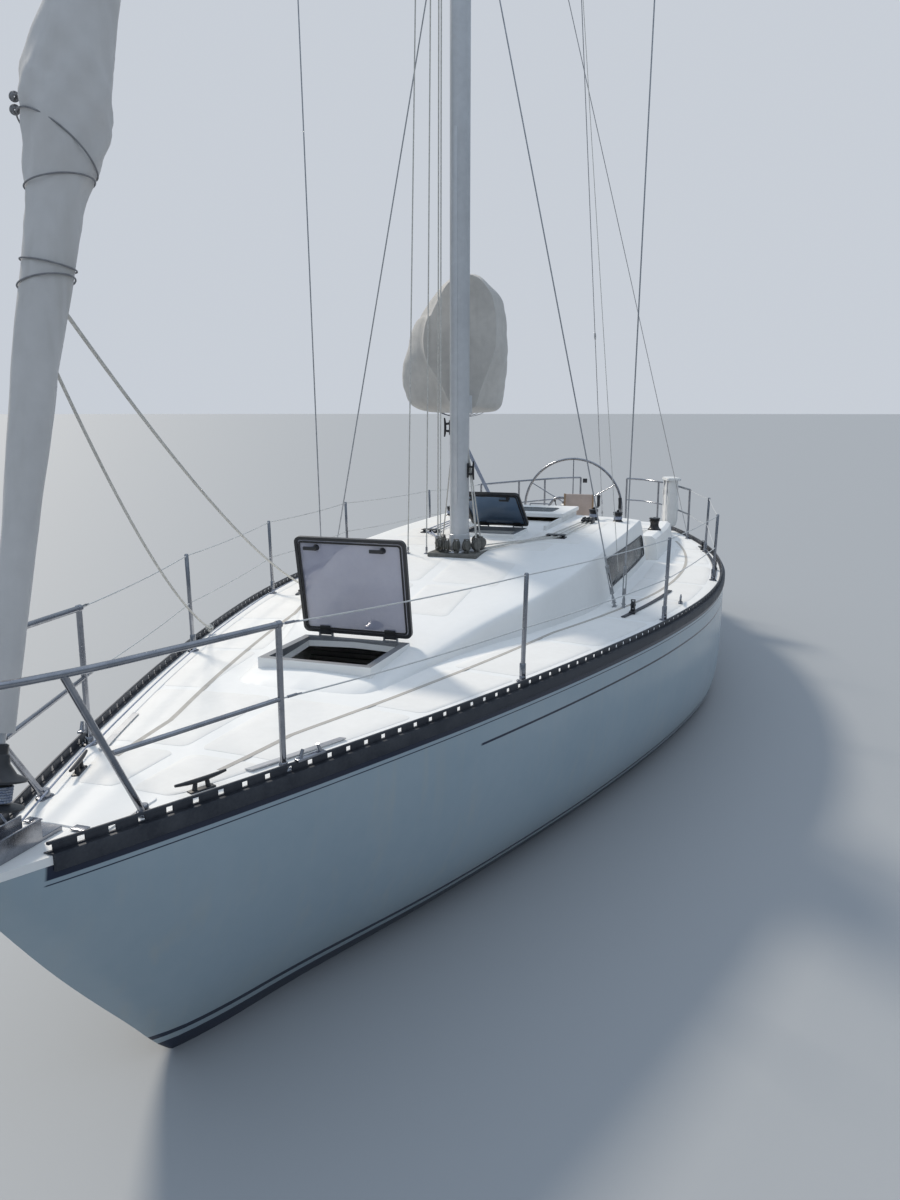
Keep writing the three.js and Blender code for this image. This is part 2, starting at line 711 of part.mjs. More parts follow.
function makeMast() {
  const spar = loft([ovalRing(STEP_Z + GAP, MAST_LONG, MAST_WIDE), ovalRing(MAST_TOP - 2600, MAST_LONG, MAST_WIDE),
    ovalRing(MAST_TOP, MAST_LONG * 0.7, MAST_WIDE * 0.7)]);
  const crane = box(MAST_X - 190, MAST_X + 130, -28, 28, MAST_TOP - 40, MAST_TOP + 40);
  return unite([spar, crane, lugs(BOOM_Z, 62), lugs(VANG_Z, 50)]);
}

function makeStep() {
  const plate = loft([ovalRing(1500, 330, 270, MAST_X, 20), ovalRing(STEP_Z, 310, 250, MAST_X, 20)]);
  return plate.subtract(roofTop);
}

const boomTurn = new THREE.Group();
boomTurn.position.set(GOOSENECK_X, 0, 0);
boomTurn.rotation.z = radians(BOOM_ANGLE);
yacht.add(boomTurn);

function onBoom(name, solid, material) {
  const mesh = piece(name, solid, material);
  boomTurn.add(mesh);
}

function boomRing(x, tall, wide, z) {
  const [h, w] = [tall / 2, wide / 2];
  const corner = [[w, h * 0.5], [w * 0.6, h], [-w * 0.6, h], [-w, h * 0.5], [-w, -h * 0.6], [-w * 0.5, -h],
    [w * 0.5, -h], [w, -h * 0.6]];
  return corner.map(([y, dz]) => [x, y, z + dz]);
}

function makeBoom() {
  const spar = loft([boomRing(-50, BOOM_TALL, BOOM_WIDE, BOOM_Z), boomRing(-BOOM_LENGTH, BOOM_TALL, BOOM_WIDE, BOOM_Z)]);
  const tongue = bar([0, 0, BOOM_Z - 52], [0, 0, BOOM_Z + 52], 20, 16);
  const neck = box(-60, 0, -16, 16, BOOM_Z - 45, BOOM_Z + 45);
  const pin = bar([0, 0, BOOM_Z - 70], [0, 0, BOOM_Z + 70], 7.6, 16);
  const vangLug = box(-1360, -1290, -8, 8, BOOM_Z - BOOM_TALL / 2 - 42, BOOM_Z - BOOM_TALL / 2 + 5);
  return unite([spar, tongue, neck, vangLug]).subtract(pin);
}

const BUNDLE = [
  // distance aft of the gooseneck, half width, top
  [110, 330, 3600],
  [260, 400, 3640],
  [700, 375, 3540],
  [1500, 320, 3370],
  [2600, 255, 3190],
  [3600, 190, 3050],
  [4150, 120, 2960],
];

function bundleRing([run, half, top]) {
  const low = BOOM_Z - BOOM_TALL / 2 + 6;
  const tall = top - low;
  const side = [[0.16, 0], [0.55, 0.05], [0.88, 0.2], [1, 0.38], [0.93, 0.58], [0.7, 0.78], [0.38, 0.93], [0.12, 1]];
  const port = side.map(([f, g]) => [-run, half * f + 40 * (1 - f), low + tall * g]);
  return [...port, ...port.map(([x, y, z]) => [x, -y, z]).reverse()];
}

function makeBundle() {
  const slot = loft([boomRing(0, BOOM_TALL + 0.8, BOOM_WIDE + 0.8, BOOM_Z), boomRing(-5000, BOOM_TALL + 0.8, BOOM_WIDE + 0.8, BOOM_Z)]);
  return loft(BUNDLE.map(bundleRing)).subtract(slot);
}

function makeVang() {
  const foot = [0, 0, VANG_Z];
  const head = [-1325, 0, BOOM_Z - BOOM_TALL / 2 - 60];
  const part = (f) => foot.map((v, i) => v + (head[i] - v) * f);
  const eye = bar([0, 0, VANG_Z - 38], [0, 0, VANG_Z + 38], 20, 16);
  const tubes = [bar(part(0.009), part(0.08), 12, 10), bar(part(0.06), part(0.6), 30, 12), bar(part(0.58), part(1), 20, 12)];
  return unite([eye, ...tubes]).subtract(bar([0, 0, VANG_Z - 60], [0, 0, VANG_Z + 60], 7.6, 16));
}

piece("mast", makeMast(), "alloy");
piece("mast_step", makeStep(), "alloy");
onBoom("boom", makeBoom(), "alloy");
onBoom("mainsail_bundle", makeBundle(), "sailcloth");
onBoom("boom_vang", makeVang(), "alloy");

const SPREADERS = [
  // name, height, tip off the centreline, sweep aft, gap to the shroud
  ["lower", 6400, 1330, 130, 1.1],
  ["upper", 11300, 1000, 100, 2.3],
];
const chainplate = { x: 780, y: 1255, lower: 1190 };

function spreaderTip([, height, reach, sweep], side) {
  return [MAST_X - sweep, side * reach, height + 60];
}

function makeSpreader(row, side) {
  const root = [MAST_X, side * (MAST_WIDE / 2 + GAP), row[1]];
  const tip = spreaderTip(row, side);
  const ring = (at, long, thick) => Array.from({ length: 10 }, (_, k) => {
    const a = 2 * Math.PI * k / 10;
    return [at[0] + Math.cos(a) * long / 2, at[1], at[2] + Math.sin(a) * thick / 2];
  });
  const end = [tip[0], tip[1] - side * (WIRE_R + row[4]), tip[2]];
  return loft([ring(root, 105, 34), ring(end, 52, 18)]);
}

function onLine(a, b, distance) {
  const from = new THREE.Vector3(...a);
  return from.add(new THREE.Vector3(...b).sub(from).setLength(distance)).toArray();
}

function screwedEnd(foot, towards, size) {
  // Chainplate eye, toggle and turnbuckle at the foot of a stay.
  return unite([
    bar(foot, onLine(foot, towards, 95), size * 0.8, 8),
    bar(onLine(foot, towards, 90), onLine(foot, towards, 330), size * 1.25, 8),
    bar(onLine(foot, towards, 320), onLine(foot, towards, 400), size * 0.8, 8),
  ]);
}

function makeCapShroud(side) {
  const foot = [chainplate.x, side * chainplate.y, deckHeight(chainplate.x, chainplate.y) - 30];
  const path = [foot, ...SPREADERS.map((row) => spreaderTip(row, side)),
    [MAST_X, side * (MAST_WIDE * 0.365 + WIRE_R + 0.5), MAST_TOP - 260]];
  return raised(unite([wire(path, WIRE_R), screwedEnd(foot, path[1], 12)]));
}

function makeLowerShroud(side) {
  const foot = [chainplate.x + 10, side * chainplate.lower, 1160];
  const head = [MAST_X, side * (MAST_WIDE / 2 + WIRE_R + GAP), 6330];
  return raised(unite([bar(foot, head, WIRE_R, 8), screwedEnd(foot, head, 12)]));
}

function makeBackstay() {
  const foot = [-5700, 0, deckHeight(-5700, 0) - 30];
  const head = [MAST_X - 190 - WIRE_R, 0, MAST_TOP];
  return raised(unite([bar(foot, head, WIRE_R, 8), screwedEnd(foot, head, 12)]));
}

for (const [name, side] of [["port", 1], ["stbd", -1]]) {
  for (const row of SPREADERS) piece(`${row[0]}_spreader_${name}`, makeSpreader(row, side), "alloy");
  piece(`cap_shroud_${name}`, makeCapShroud(side), "steel");
  piece(`lower_shroud_${name}`, makeLowerShroud(side), "steel");
}
piece("backstay", makeBackstay(), "steel");

// Forestay with its foil, the furled headsail and the drum
const MASTHEAD = new THREE.Vector3(MAST_X + 130 + WIRE_R + 0.4, 0, MAST_TOP - 10);
const stayLine = MASTHEAD.clone().sub(TACK);
const onStay = (run) => TACK.clone().add(stayLine.clone().setLength(run)).toArray();

const ROLL = [
  // distance up the stay, radius
  [330, 42],
  [700, 60],
  [1300, 76],
  [1750, 92],
  [2060, 112],
  [2250, 134],
  [2450, 132],
  [2750, 121],
  [4500, 112],
  [8500, 86],
  [12500, 52],
  [14300, 26],
];

function aboutStay(profile, sides) {
  const geometry = new THREE.LatheGeometry(profile.map(([run, r]) => new THREE.Vector2(r, run)), sides);
  const up = new THREE.Vector3(0, 1, 0);
  geometry.applyQuaternion(new THREE.Quaternion().setFromUnitVectors(up, stayLine.clone().normalize()));
  geometry.translate(TACK.x, TACK.y, TACK.z);
  return toSolid(geometry);
}

function makeFurledSail() {
  const first = ROLL[0];
  const last = ROLL[ROLL.length - 1];
  const profile = [[first[0], 0], ...ROLL, [last[0], 0]];
  return aboutStay(profile, 16).subtract(bar(onStay(100), onStay(15500), 15.6, 12));
}

function makeForestay() {
  const length = stayLine.length();
  const foil = bar(onStay(250), onStay(14900), 15, 12);
  const wire = bar(onStay(14890), onStay(length), WIRE_R, 8);
  const link = bar(onStay(2), onStay(260), 9, 8);
  return unite([foil, wire, link]);
}

function makeDrum() {
  const drum = aboutStay([[95, 0], [95, 95], [105, 95], [112, 45], [178, 45], [185, 95], [195, 95], [240, 34], [300, 26],
    [300, 0]], 20);
  return drum.subtract(bar(onStay(0), onStay(270), 9.5, 8)).subtract(bar(onStay(248), onStay(400), 15.5, 12));
}

piece("forestay", makeForestay(), "alloy");
piece("furled_genoa", makeFurledSail(), "sailcloth");
piece("furling_drum", makeDrum(), "black");

// Winches, pedestal and wheel, rescue bag
function winch(x, y, z, scale, cutter) {
  const profile = [[0, -40], [70, -40], [70, 14], [52, 24], [44, 60], [48, 104], [58, 112], [58, 132], [0, 132]];
  return turned(profile.map(([r, h]) => [r * scale, h * scale]), [x, y, z], 20).subtract(cutter);
}

const CABIN_WINCHES = [
  // place in the row, off the centreline, below the centreline's height
  ["inner", 620, 12],
  ["outer", 860, 30],
];

for (const [name, side] of [["port", 1], ["stbd", -1]]) {
  for (const [place, y, drop] of CABIN_WINCHES) {
    piece(`cabin_winch_${place}_${name}`, winch(-1420, side * y, roofHeight(-1420) - drop, 0.8, roofTop), "black");
  }
  piece(`primary_winch_${name}`, winch(-2500, side * 1095, 1382, 1, coamingTop(side)), "black");
}

function coamingTop(side) {
  const coamingSolid = coaming(side);
  return coamingSolid.translate([0, 0, GAP]).add(coamingSolid);
}

function makePedestal() {
  const column = loft([
    [SOLE_Z + GAP, 150, 120],
    [SOLE_Z + 120, 100, 85],
    [1330, 90, 75],
    [1400, 130, 120],
    [1560, 120, 110],
  ].map(([z, long, wide]) => ovalRing(z, long * 1.6, wide * 2, WHEEL.x + 195, 16)));
  const stub = bar([WHEEL.x - 45, 0, WHEEL.z], [WHEEL.x + 120, 0, WHEEL.z], 14, 16);
  const guard = tube([[WHEEL.x + 330, -230, SOLE_Z + GAP], [WHEEL.x + 330, -230, 1500], [WHEEL.x + 330, -150, 1640],
    [WHEEL.x + 330, 150, 1640], [WHEEL.x + 330, 230, 1500], [WHEEL.x + 330, 230, SOLE_Z + GAP]], 14, 20);
  const bracket = box(WHEEL.x + 280, WHEEL.x + 362, -240, 240, 1380, 1410);
  return unite([column, stub, guard, bracket]);
}

function makeWheel() {
  const rim = new THREE.TorusGeometry(WHEEL.radius, WHEEL.rim, 6, 36);
  rim.rotateY(Math.PI / 2);
  rim.translate(WHEEL.x, 0, WHEEL.z);
  const hub = bar([WHEEL.x - 40, 0, WHEEL.z], [WHEEL.x + 40, 0, WHEEL.z], 48, 20);
  const spokes = Array.from({ length: 6 }, (_, k) => {
    const a = 2 * Math.PI * (k + 0.5) / 6;
    const end = [WHEEL.x, Math.cos(a) * WHEEL.radius, WHEEL.z + Math.sin(a) * WHEEL.radius];
    return bar([WHEEL.x, 0, WHEEL.z], end, 8, 8);
  });
  const bore = bar([WHEEL.x - 60, 0, WHEEL.z], [WHEEL.x + 60, 0, WHEEL.z], 14.6, 16);
  return unite([toSolid(rim), hub, ...spokes]).subtract(bore);
}

piece("steering_pedestal", makePedestal(), "deck_white");
piece("steering_wheel", makeWheel(), "steel");

const BAG = { x: -4620, wide: 270, deep: 130, low: 1190, high: 1810 };

function makeRescueBag() {
  // Hangs inside the port stern rail, turned to lie along it where the rail bows out between its posts.
  const railAt = (x) => halfBeam(along(x)) - 75;
  const [fore, aft] = [railAt(-4050), railAt(-4900)];
  const angle = Math.atan2(fore - aft, 850);
  const railY = aft + (fore - aft) * (BAG.x + 4900) / 850;
  const bow = 4;
  const off = RAIL_R + 0.5 - bow + BAG.deep / 2;
  const geometry = new THREE.BoxGeometry(BAG.wide, BAG.deep, BAG.high - BAG.low);
  geometry.rotateZ(angle);
  geometry.translate(BAG.x + off * Math.sin(angle), railY - off * Math.cos(angle), (BAG.high + BAG.low) / 2);
  return toSolid(geometry);
}

piece("rescue_bag", makeRescueBag(), "sailcloth");

export default yacht;
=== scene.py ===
# %% [markdown]
# # The surfaces of a sailing yacht
# The construction is already fixed: hull, deck, rig and every joint come in as a frame, and this
# lesson only dresses it. Each cell makes one thing that can be seen on the boat, mostly as a surface
# worked out with numpy, and gives it a finish from nodes. X points forward, Y to port and Z up, in
# metres, and Z is 0 at the water.

# %% Load the frame
import math

import bmesh
import bpy
import numpy as np
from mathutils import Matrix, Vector


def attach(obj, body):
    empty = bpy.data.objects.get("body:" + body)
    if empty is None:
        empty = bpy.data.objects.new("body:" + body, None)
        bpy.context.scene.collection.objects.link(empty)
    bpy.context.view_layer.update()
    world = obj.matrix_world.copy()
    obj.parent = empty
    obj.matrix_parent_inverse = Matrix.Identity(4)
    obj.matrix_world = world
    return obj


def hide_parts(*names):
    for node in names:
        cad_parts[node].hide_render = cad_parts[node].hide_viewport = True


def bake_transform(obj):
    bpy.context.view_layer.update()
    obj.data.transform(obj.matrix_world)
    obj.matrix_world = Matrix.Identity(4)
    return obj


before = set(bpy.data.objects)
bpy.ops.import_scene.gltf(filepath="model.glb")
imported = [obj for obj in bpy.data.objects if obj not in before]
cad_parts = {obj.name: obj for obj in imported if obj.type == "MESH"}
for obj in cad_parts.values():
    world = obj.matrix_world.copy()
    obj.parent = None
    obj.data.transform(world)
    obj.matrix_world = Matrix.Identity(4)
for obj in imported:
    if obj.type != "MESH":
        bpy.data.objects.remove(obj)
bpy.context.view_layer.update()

# %% [markdown]
# ## Driving measures
# A boat is drawn from its lines: how wide it is, how deep and how full, at each station from the bow.
# The same few lines shape the hull, the deck, the rails along its edge and everything that stands on
# it, so they are written once here, and a smooth curve runs through them.

# %% Lines of the hull and the coachroof
LENGTH, WIDEST = 11.6, 1.894
BOW = LENGTH / 2
CAMBER, DECK_THICK, WALL = 0.075, 0.0303, 0.04
SIDES = (("port", 1), ("stbd", -1))

HULL_LINES = np.array([
    # station from the bow, half beam, keel line height, fullness, roundness
    [0.000, 0.030, 1.220, 1.6, 1.0], [0.030, 0.185, 0.740, 1.9, 1.0], [0.060, 0.335, 0.316, 2.0, 1.0],
    [0.084, 0.450, 0.000, 2.0, 1.0], [0.120, 0.617, -0.215, 2.0, 1.05], [0.200, 0.960, -0.340, 3.0, 1.2],
    [0.300, 1.335, -0.430, 3.4, 1.45], [0.400, 1.644, -0.500, 3.6, 1.7], [0.500, 1.844, -0.530, 4.3, 1.9],
    [0.600, 1.894, -0.520, 6.0, 2.0], [0.700, 1.797, -0.450, 6.5, 2.0], [0.800, 1.565, -0.320, 4.9, 2.0],
    [0.900, 1.211, -0.085, 2.6, 2.0], [1.000, 0.747, 0.235, 2.2, 2.0],
])
ROOF_LINES = np.array([
    # x, half width at the deck, height on the centreline
    [-1.750, 1.130, 1.600], [-0.900, 1.140, 1.602], [0.000, 1.130, 1.600], [0.936, 1.095, 1.574],
    [1.700, 0.915, 1.480], [2.400, 0.660, 1.385], [2.900, 0.520, 1.320], [3.450, 0.430, 1.288],
    [3.600, 0.400, 1.265], [3.760, 0.350, 1.180],
])


def through(table, at, column):
    """Smooth curve through a table's rows: on each span a cubic meets both rows, with the slope that
    the neighbouring rows give."""
    place, value = table[:, 0], table[:, column]
    last = len(place) - 1
    before, after = np.maximum(np.arange(-1, last), 0), np.minimum(np.arange(1, last + 2), last)
    slope = (value[after] - value[before]) / (place[after] - place[before])
    at = np.clip(np.asarray(at, float), place[0], place[last])
    i = np.clip(np.searchsorted(place, at, side="right") - 1, 0, last - 1)
    span = place[i + 1] - place[i]
    u = (at - place[i]) / span
    rise, lead, trail = 3 * u ** 2 - 2 * u ** 3, u ** 3 - 2 * u ** 2 + u, u ** 3 - u ** 2
    return value[i] * (1 - rise) + value[i + 1] * rise + span * (slope[i] * lead + slope[i + 1] * trail)


def station(x):
    """Station of a place along the boat: 0 at the bow and 1 at the stern."""
    return (BOW - np.asarray(x, float)) / LENGTH


def half_beam(x):
    return through(HULL_LINES, station(x), 1)


def sheer_at(t):
    """Height of the deck edge at a station: a shallow curve that is lowest near the stern."""
    return 1.251 - 0.260 * t + 0.086 * t ** 2


def sheer(x):
    return sheer_at(station(x))


def deck_z(x, y):
    """Deck height: the sheer, plus a crown that falls off with the square of the way to the edge."""
    half = half_beam(x)
    across = np.minimum(np.abs(y) / half, 1)
    return sheer(x) + CAMBER * half / WIDEST * (1 - across ** 2)


print("widest half beam", round(float(half_beam(np.linspace(-BOW, BOW, 200)).max()), 3))

# %% [markdown]
# ## Meshes from arrays
# A part here is a pair: an array of points and a list of face arrays. Grids, tubes, turned forms and
# rounded blocks all give that pair, so they can be joined before one mesh is made of them. Every
# closed part is checked by its volume and turned the right way out.

# %% Part helpers
SHARP = math.radians(38)
X, Y, Z = (1, 0, 0), (0, 1, 0), (0, 0, 1)


def unit(way):
    way = np.asarray(way, float)
    return way / np.linalg.norm(way)


def around(count):
    """Angles spread evenly round a full turn."""
    return np.linspace(0, 2 * np.pi, count, endpoint=False)


def outward(points, faces):
    """Turns a closed part's faces outwards: the volume under its faces has to be positive."""
    volume = 0.0
    for group in faces:
        a = points[group[:, 0]]
        for k in range(1, group.shape[1] - 1):
            volume += np.einsum("ij,ij->i", a, np.cross(points[group[:, k]], points[group[:, k + 1]])).sum()
    return [group[:, ::-1] for group in faces] if volume < 0 else faces


def grid(rows, ring=False, caps=False, closed=False):
    """Surface through an array of rows of points. ring joins each row's ends, caps closes the first
    and last row with one face each, and closed joins the last row to the first."""
    rows = np.asarray(rows, float)
    index = np.arange(rows.shape[0] * rows.shape[1]).reshape(rows.shape[:2])
    up, down = (index, np.roll(index, -1, 0)) if closed else (index[:-1], index[1:])
    if ring:
        quads = np.stack([up, np.roll(up, -1, 1), np.roll(down, -1, 1), down], -1)
    else:
        quads = np.stack([up[:, :-1], up[:, 1:], down[:, 1:], down[:, :-1]], -1)
    faces = [quads.reshape(-1, 4)] + ([index[:1, ::-1], index[-1:]] if caps else [])
    points = rows.reshape(-1, 3)
    return points, outward(points, faces) if ring and (caps or closed) else faces


def solid(rows):
    """Closed form through rings of points."""
    return grid(rows, ring=True, caps=True)


def flat(parts):
    """The parts themselves, out of lists in lists."""
    return [part for item in parts for part in (flat(item) if isinstance(item, list) else [item])]


def join(*parts):
    """One part from several, or from lists of them."""
    parts = flat(parts)
    points = np.concatenate([p for p, _ in parts])
    starts = np.cumsum([0] + [len(p) for p, _ in parts[:-1]])
    return points, [group + start for (_, faces), start in zip(parts, starts) for group in faces]


def shift(part, by):
    return part[0] + np.asarray(by, float), part[1]


def spin(part, axis, degrees):
    """Turns a part about an axis through 0, by the rule of a right-hand screw."""
    k, a, v = unit(axis), math.radians(degrees), part[0]
    return v * math.cos(a) + np.cross(k, v) * math.sin(a) + np.outer(v @ k, k) * (1 - math.cos(a)), part[1]


def mirrored(part):
    """The same part on the other side of the centreline, with its faces turned back outwards."""
    return part[0] * [1, -1, 1], [group[:, ::-1] for group in part[1]]


def both(part):
    return join(part, mirrored(part))


def bend_path(corners, count):
    """Smooth path through a few corners: a cubic on each span, by the distance along them."""
    corners = np.asarray(corners, float)
    gone = np.concatenate([[0], np.cumsum(np.linalg.norm(np.diff(corners, axis=0), axis=1))])
    table = np.column_stack([gone, corners])
    return np.column_stack([through(table, np.linspace(0, gone[-1], count), k) for k in (1, 2, 3)])


def corner_curve(before, at, after, radius, steps=6):
    """Curve that rounds a corner: it starts and ends a radius away, and the corner pulls it."""
    start, end = at + unit(before - at) * radius, at + unit(after - at) * radius
    u = np.linspace(0, 1, steps)[:, None]
    return (1 - u) ** 2 * start + 2 * u * (1 - u) * at + u ** 2 * end


def rounded_path(corners, radius, steps=6):
    """Straight runs between corners, with each inner corner rounded."""
    c = np.asarray(corners, float)
    curves = [corner_curve(*c[k:k + 3], radius, steps) for k in range(len(c) - 2)]
    return np.vstack([c[:1], *curves, c[-1:]])


def frames(path, closed=False):
    """Two directions across a path at each point, from its tangent and a fixed direction that the
    path never follows."""
    tangent = np.roll(path, -1, 0) - np.roll(path, 1, 0) if closed else np.gradient(path, axis=0)
    tangent /= np.linalg.norm(tangent, axis=1)[:, None]
    choices = np.array([Z, Y, X, [0.6, 0.6, 0.53]])
    side = np.cross(tangent, choices[np.abs(tangent @ choices.T).max(0).argmin()])
    side /= np.linalg.norm(side, axis=1)[:, None]
    return side, np.cross(side, tangent)


def tube(path, radius, sides=12, closed=False):
    """Round tube: a circle carried along a path, its radius one value or one for each point."""
    path = np.asarray(path, float)
    side, up = frames(path, closed)
    a = around(sides)[None, :, None]
    r = np.broadcast_to(np.asarray(radius, float), len(path))[:, None, None]
    ring = np.cos(a) * side[:, None] + np.sin(a) * up[:, None]
    return grid(path[:, None] + r * ring, ring=True, caps=not closed, closed=closed)


def rod(a, b, radius, sides=12, end_radius=None):
    return tube([a, b], [radius, end_radius or radius], sides)


def lathe(profile, at=(0, 0, 0), sides=32, axis=Z):
    """Turned form: a profile of radius and height pairs swept round an axis through a point."""
    r, height = np.asarray(profile, float).T[:, :, None, None]
    k = unit(axis)
    u = unit(np.cross(k, X if abs(k[0]) < 0.8 else Y))
    a = around(sides)[:, None]
    circle = np.cos(a) * u + np.sin(a) * np.cross(k, u)
    return solid(np.maximum(r, 2e-4) * circle + height * k + np.asarray(at, float))


def block(low, high, radius=0.004, steps=3):
    """Rounded block: an outline with round corners, carried up in rings that draw in by a quarter
    circle at the foot and the head."""
    low, high = np.asarray(low, float), np.asarray(high, float)
    centre, half = (low + high) / 2, (high - low) / 2
    radius = min(radius, *(half * 0.98))
    quarter = np.linspace(0, np.pi / 2, steps + 1)
    inset, lift = radius * (1 - np.sin(quarter)), radius * (1 - np.cos(quarter))
    levels = np.concatenate([-half[2] + lift, half[2] - lift[::-1]])
    r = radius * 1.0001 - np.concatenate([inset, inset[::-1]])[:, None]
    a = np.concatenate([quarter + k * np.pi / 2 for k in range(4)])
    x = np.repeat([1, -1, -1, 1], steps + 1) * (half[0] - radius) + np.cos(a) * r
    y = np.repeat([1, 1, -1, -1], steps + 1) * (half[1] - radius) + np.sin(a) * r
    return solid(np.stack([x, y, np.broadcast_to(levels[:, None], x.shape)], -1) + centre)


def slab(x, y, z, radius=0.004, steps=3):
    """Rounded block from three pairs of ends."""
    return block((x[0], y[0], z[0]), (x[1], y[1], z[1]), radius, steps)


def plate(outline, low, high, axis=2):
    """Flat plate: an outline of pairs in the two other directions, from low to high along an axis."""
    return solid([np.insert(np.asarray(outline, float), axis, level, axis=1) for level in (low, high)])


print("a block has", sum(len(group) for group in block((0, 0, 0), (1, 1, 1))[1]), "faces")

# %% [markdown]
# ## From part to piece
# A piece is a part made a Blender mesh, given a finish, and set to ride on a body of the boat. Most
# of them belong to the hull, and those on the boom swing with it. A piece may stand for plain nodes
# of the frame, which are then hidden: one called mast_fine stands for the node mast. Its slot is looked
# up from its finish and then left unused.

# %% Piece helpers
SLOTS = {}


def placed(name, mesh, finish, sharp=SHARP):
    """An object from a mesh, with soft shading that stays sharp at hard edges."""
    mesh.shade_smooth()
    mesh.set_sharp_from_angle(angle=sharp)
    mesh.materials.append(finish)
    made = bpy.data.objects.new(name, mesh)
    bpy.context.scene.collection.objects.link(made)
    return made


def piece(name, part, finish, stands_for=None, body="hull", slot=None, extra=None, sharp=SHARP):
    """Makes a mesh from a part, or a list of parts, with foreach_set."""
    points, faces = join(part) if isinstance(part, list) else part
    mesh = bpy.data.meshes.new(name)
    mesh.vertices.add(len(points))
    mesh.vertices.foreach_set("co", points.astype(np.float32).ravel())
    sizes = np.concatenate([np.full(len(group), group.shape[1]) for group in faces])
    mesh.loops.add(int(sizes.sum()))
    corners = np.concatenate([group.ravel() for group in faces])
    mesh.loops.foreach_set("vertex_index", corners.astype(np.int32))
    mesh.polygons.add(len(sizes))
    mesh.polygons.foreach_set("loop_start", (np.cumsum(sizes) - sizes).astype(np.int32))
    for key, values in (extra or {}).items():
        mesh.attributes.new(key, "FLOAT", "POINT").data.foreach_set("value", values.astype(np.float32))
    mesh.update(calc_edges=True)
    mesh.validate()
    made = placed(name, mesh, finish, sharp)
    if isinstance(body, tuple):
        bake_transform(made)
    else:
        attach(made, body)
    nodes = name[:-5] if name.endswith("_fine") and not stands_for else stands_for
    if nodes:
        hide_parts(*([nodes] if isinstance(nodes, str) else nodes))
    slot = slot or SLOTS.get(finish.name)
    return made


def second_finish(made, finish, chosen):
    """Gives a second finish to the faces whose index is in chosen."""
    made.data.materials.append(finish)
    index = np.zeros(len(made.data.polygons), np.int32)
    index[chosen] = len(made.data.materials) - 1
    made.data.polygons.foreach_set("material_index", index)


def softened(node, finish, width=0.004, segments=3, body="hull"):
    """A copy of a node of the frame with its doubles merged, flat faces joined and edges rounded."""
    work = bmesh.new()
    work.from_mesh(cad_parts[node].data)
    bmesh.ops.remove_doubles(work, verts=work.verts, dist=2e-5)
    bmesh.ops.dissolve_limit(work, angle_limit=math.radians(1.5), verts=work.verts, edges=work.edges)
    mesh = bpy.data.meshes.new("fine_" + node)
    work.to_mesh(mesh)
    work.free()
    made = placed("fine_" + node, mesh, finish)
    bevel = made.modifiers.new("edges", "BEVEL")
    bevel.width, bevel.segments = width, segments
    bevel.limit_method, bevel.angle_limit = "ANGLE", math.radians(28)
    bevel.harden_normals = False
    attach(made, body)
    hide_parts(node)
    return made


# %% [markdown]
# ## Shared effects
# A real finish is never one colour. These node groups are built once and placed in many materials
# with other values: a slow drift between two colours, a fine grain for the bump, streaks that run
# down a surface, and the weave of a cloth.

# %% Node groups
COLOUR, VALUE = "NodeSocketColor", "NodeSocketFloat"


def feed(tree, target, inputs):
    """Fills a node's inputs, by name or number, with values or with other nodes' sockets."""
    for key, value in inputs.items():
        if isinstance(value, bpy.types.NodeSocket):
            tree.links.new(value, target.inputs[key])
        else:
            target.inputs[key].default_value = value


def node(tree, kind, inputs=None, output=0, **settings):
    """Makes a node of a kind with its settings and inputs, and gives one of its outputs."""
    made = tree.nodes.new("ShaderNode" + kind)
    for key, value in settings.items():
        setattr(made, key, value)
    feed(tree, made, inputs or {})
    return made.outputs[output]


def times(tree, a, b):
    return node(tree, "Math", {0: a, 1: b}, operation="MULTIPLY")


def ramp(tree, source, low, high, out_low=0.0, out_high=1.0):
    """Map Range node: low to high becomes out_low to out_high."""
    return node(tree, "MapRange", {"Value": source, "From Min": low, "From Max": high, "To Min": out_low,
                                   "To Max": out_high})


def mixed(tree, amount, a, b, blend="MIX"):
    """Mix node for colours."""
    return node(tree, "Mix", {0: amount, 6: a, 7: b}, 2, data_type="RGBA", blend_type=blend)


def noise(tree, vector, scale, detail=4.0):
    return node(tree, "TexNoise", {"Vector": vector, "Scale": scale, "Detail": detail})


def place(tree, stretch=(1, 1, 1)):
    """Object coordinates, stretched by a Mapping node."""
    return node(tree, "Mapping", {"Vector": node(tree, "TexCoord", output="Object"), "Scale": stretch})


def split(tree, source):
    """The three outputs that a set of coordinates is split into."""
    return node(tree, "SeparateXYZ", {0: node(tree, "TexCoord", output=source)}).node.outputs


def group(name, inputs, build):
    """Shader node group: its sockets, and a function that turns its inputs into its outputs."""
    tree = bpy.data.node_groups.new(name, "ShaderNodeTree")
    for label, (kind, default) in inputs.items():
        tree.interface.new_socket(label, in_out="INPUT", socket_type=kind).default_value = default
    got = tree.nodes.new("NodeGroupInput").outputs
    made = build(tree, *[got[label] for label in inputs])
    for label in made:
        tree.interface.new_socket(label, in_out="OUTPUT", socket_type=COLOUR if label == "Color" else VALUE)
    feed(tree, tree.nodes.new("NodeGroupOutput"), made)
    return tree


def drift(tree, tone, other, scale):
    """Colour that drifts between two tones in soft patches, with a mask for the roughness."""
    sizes = node(tree, "Math", {0: times(tree, noise(tree, place(tree), scale), 0.7),
                                1: times(tree, noise(tree, place(tree), times(tree, scale, 9.0)), 0.3)},
                 operation="ADD")
    mask = ramp(tree, sizes, 0.36, 0.64)
    return {"Color": mixed(tree, mask, tone, other), "Mask": mask}


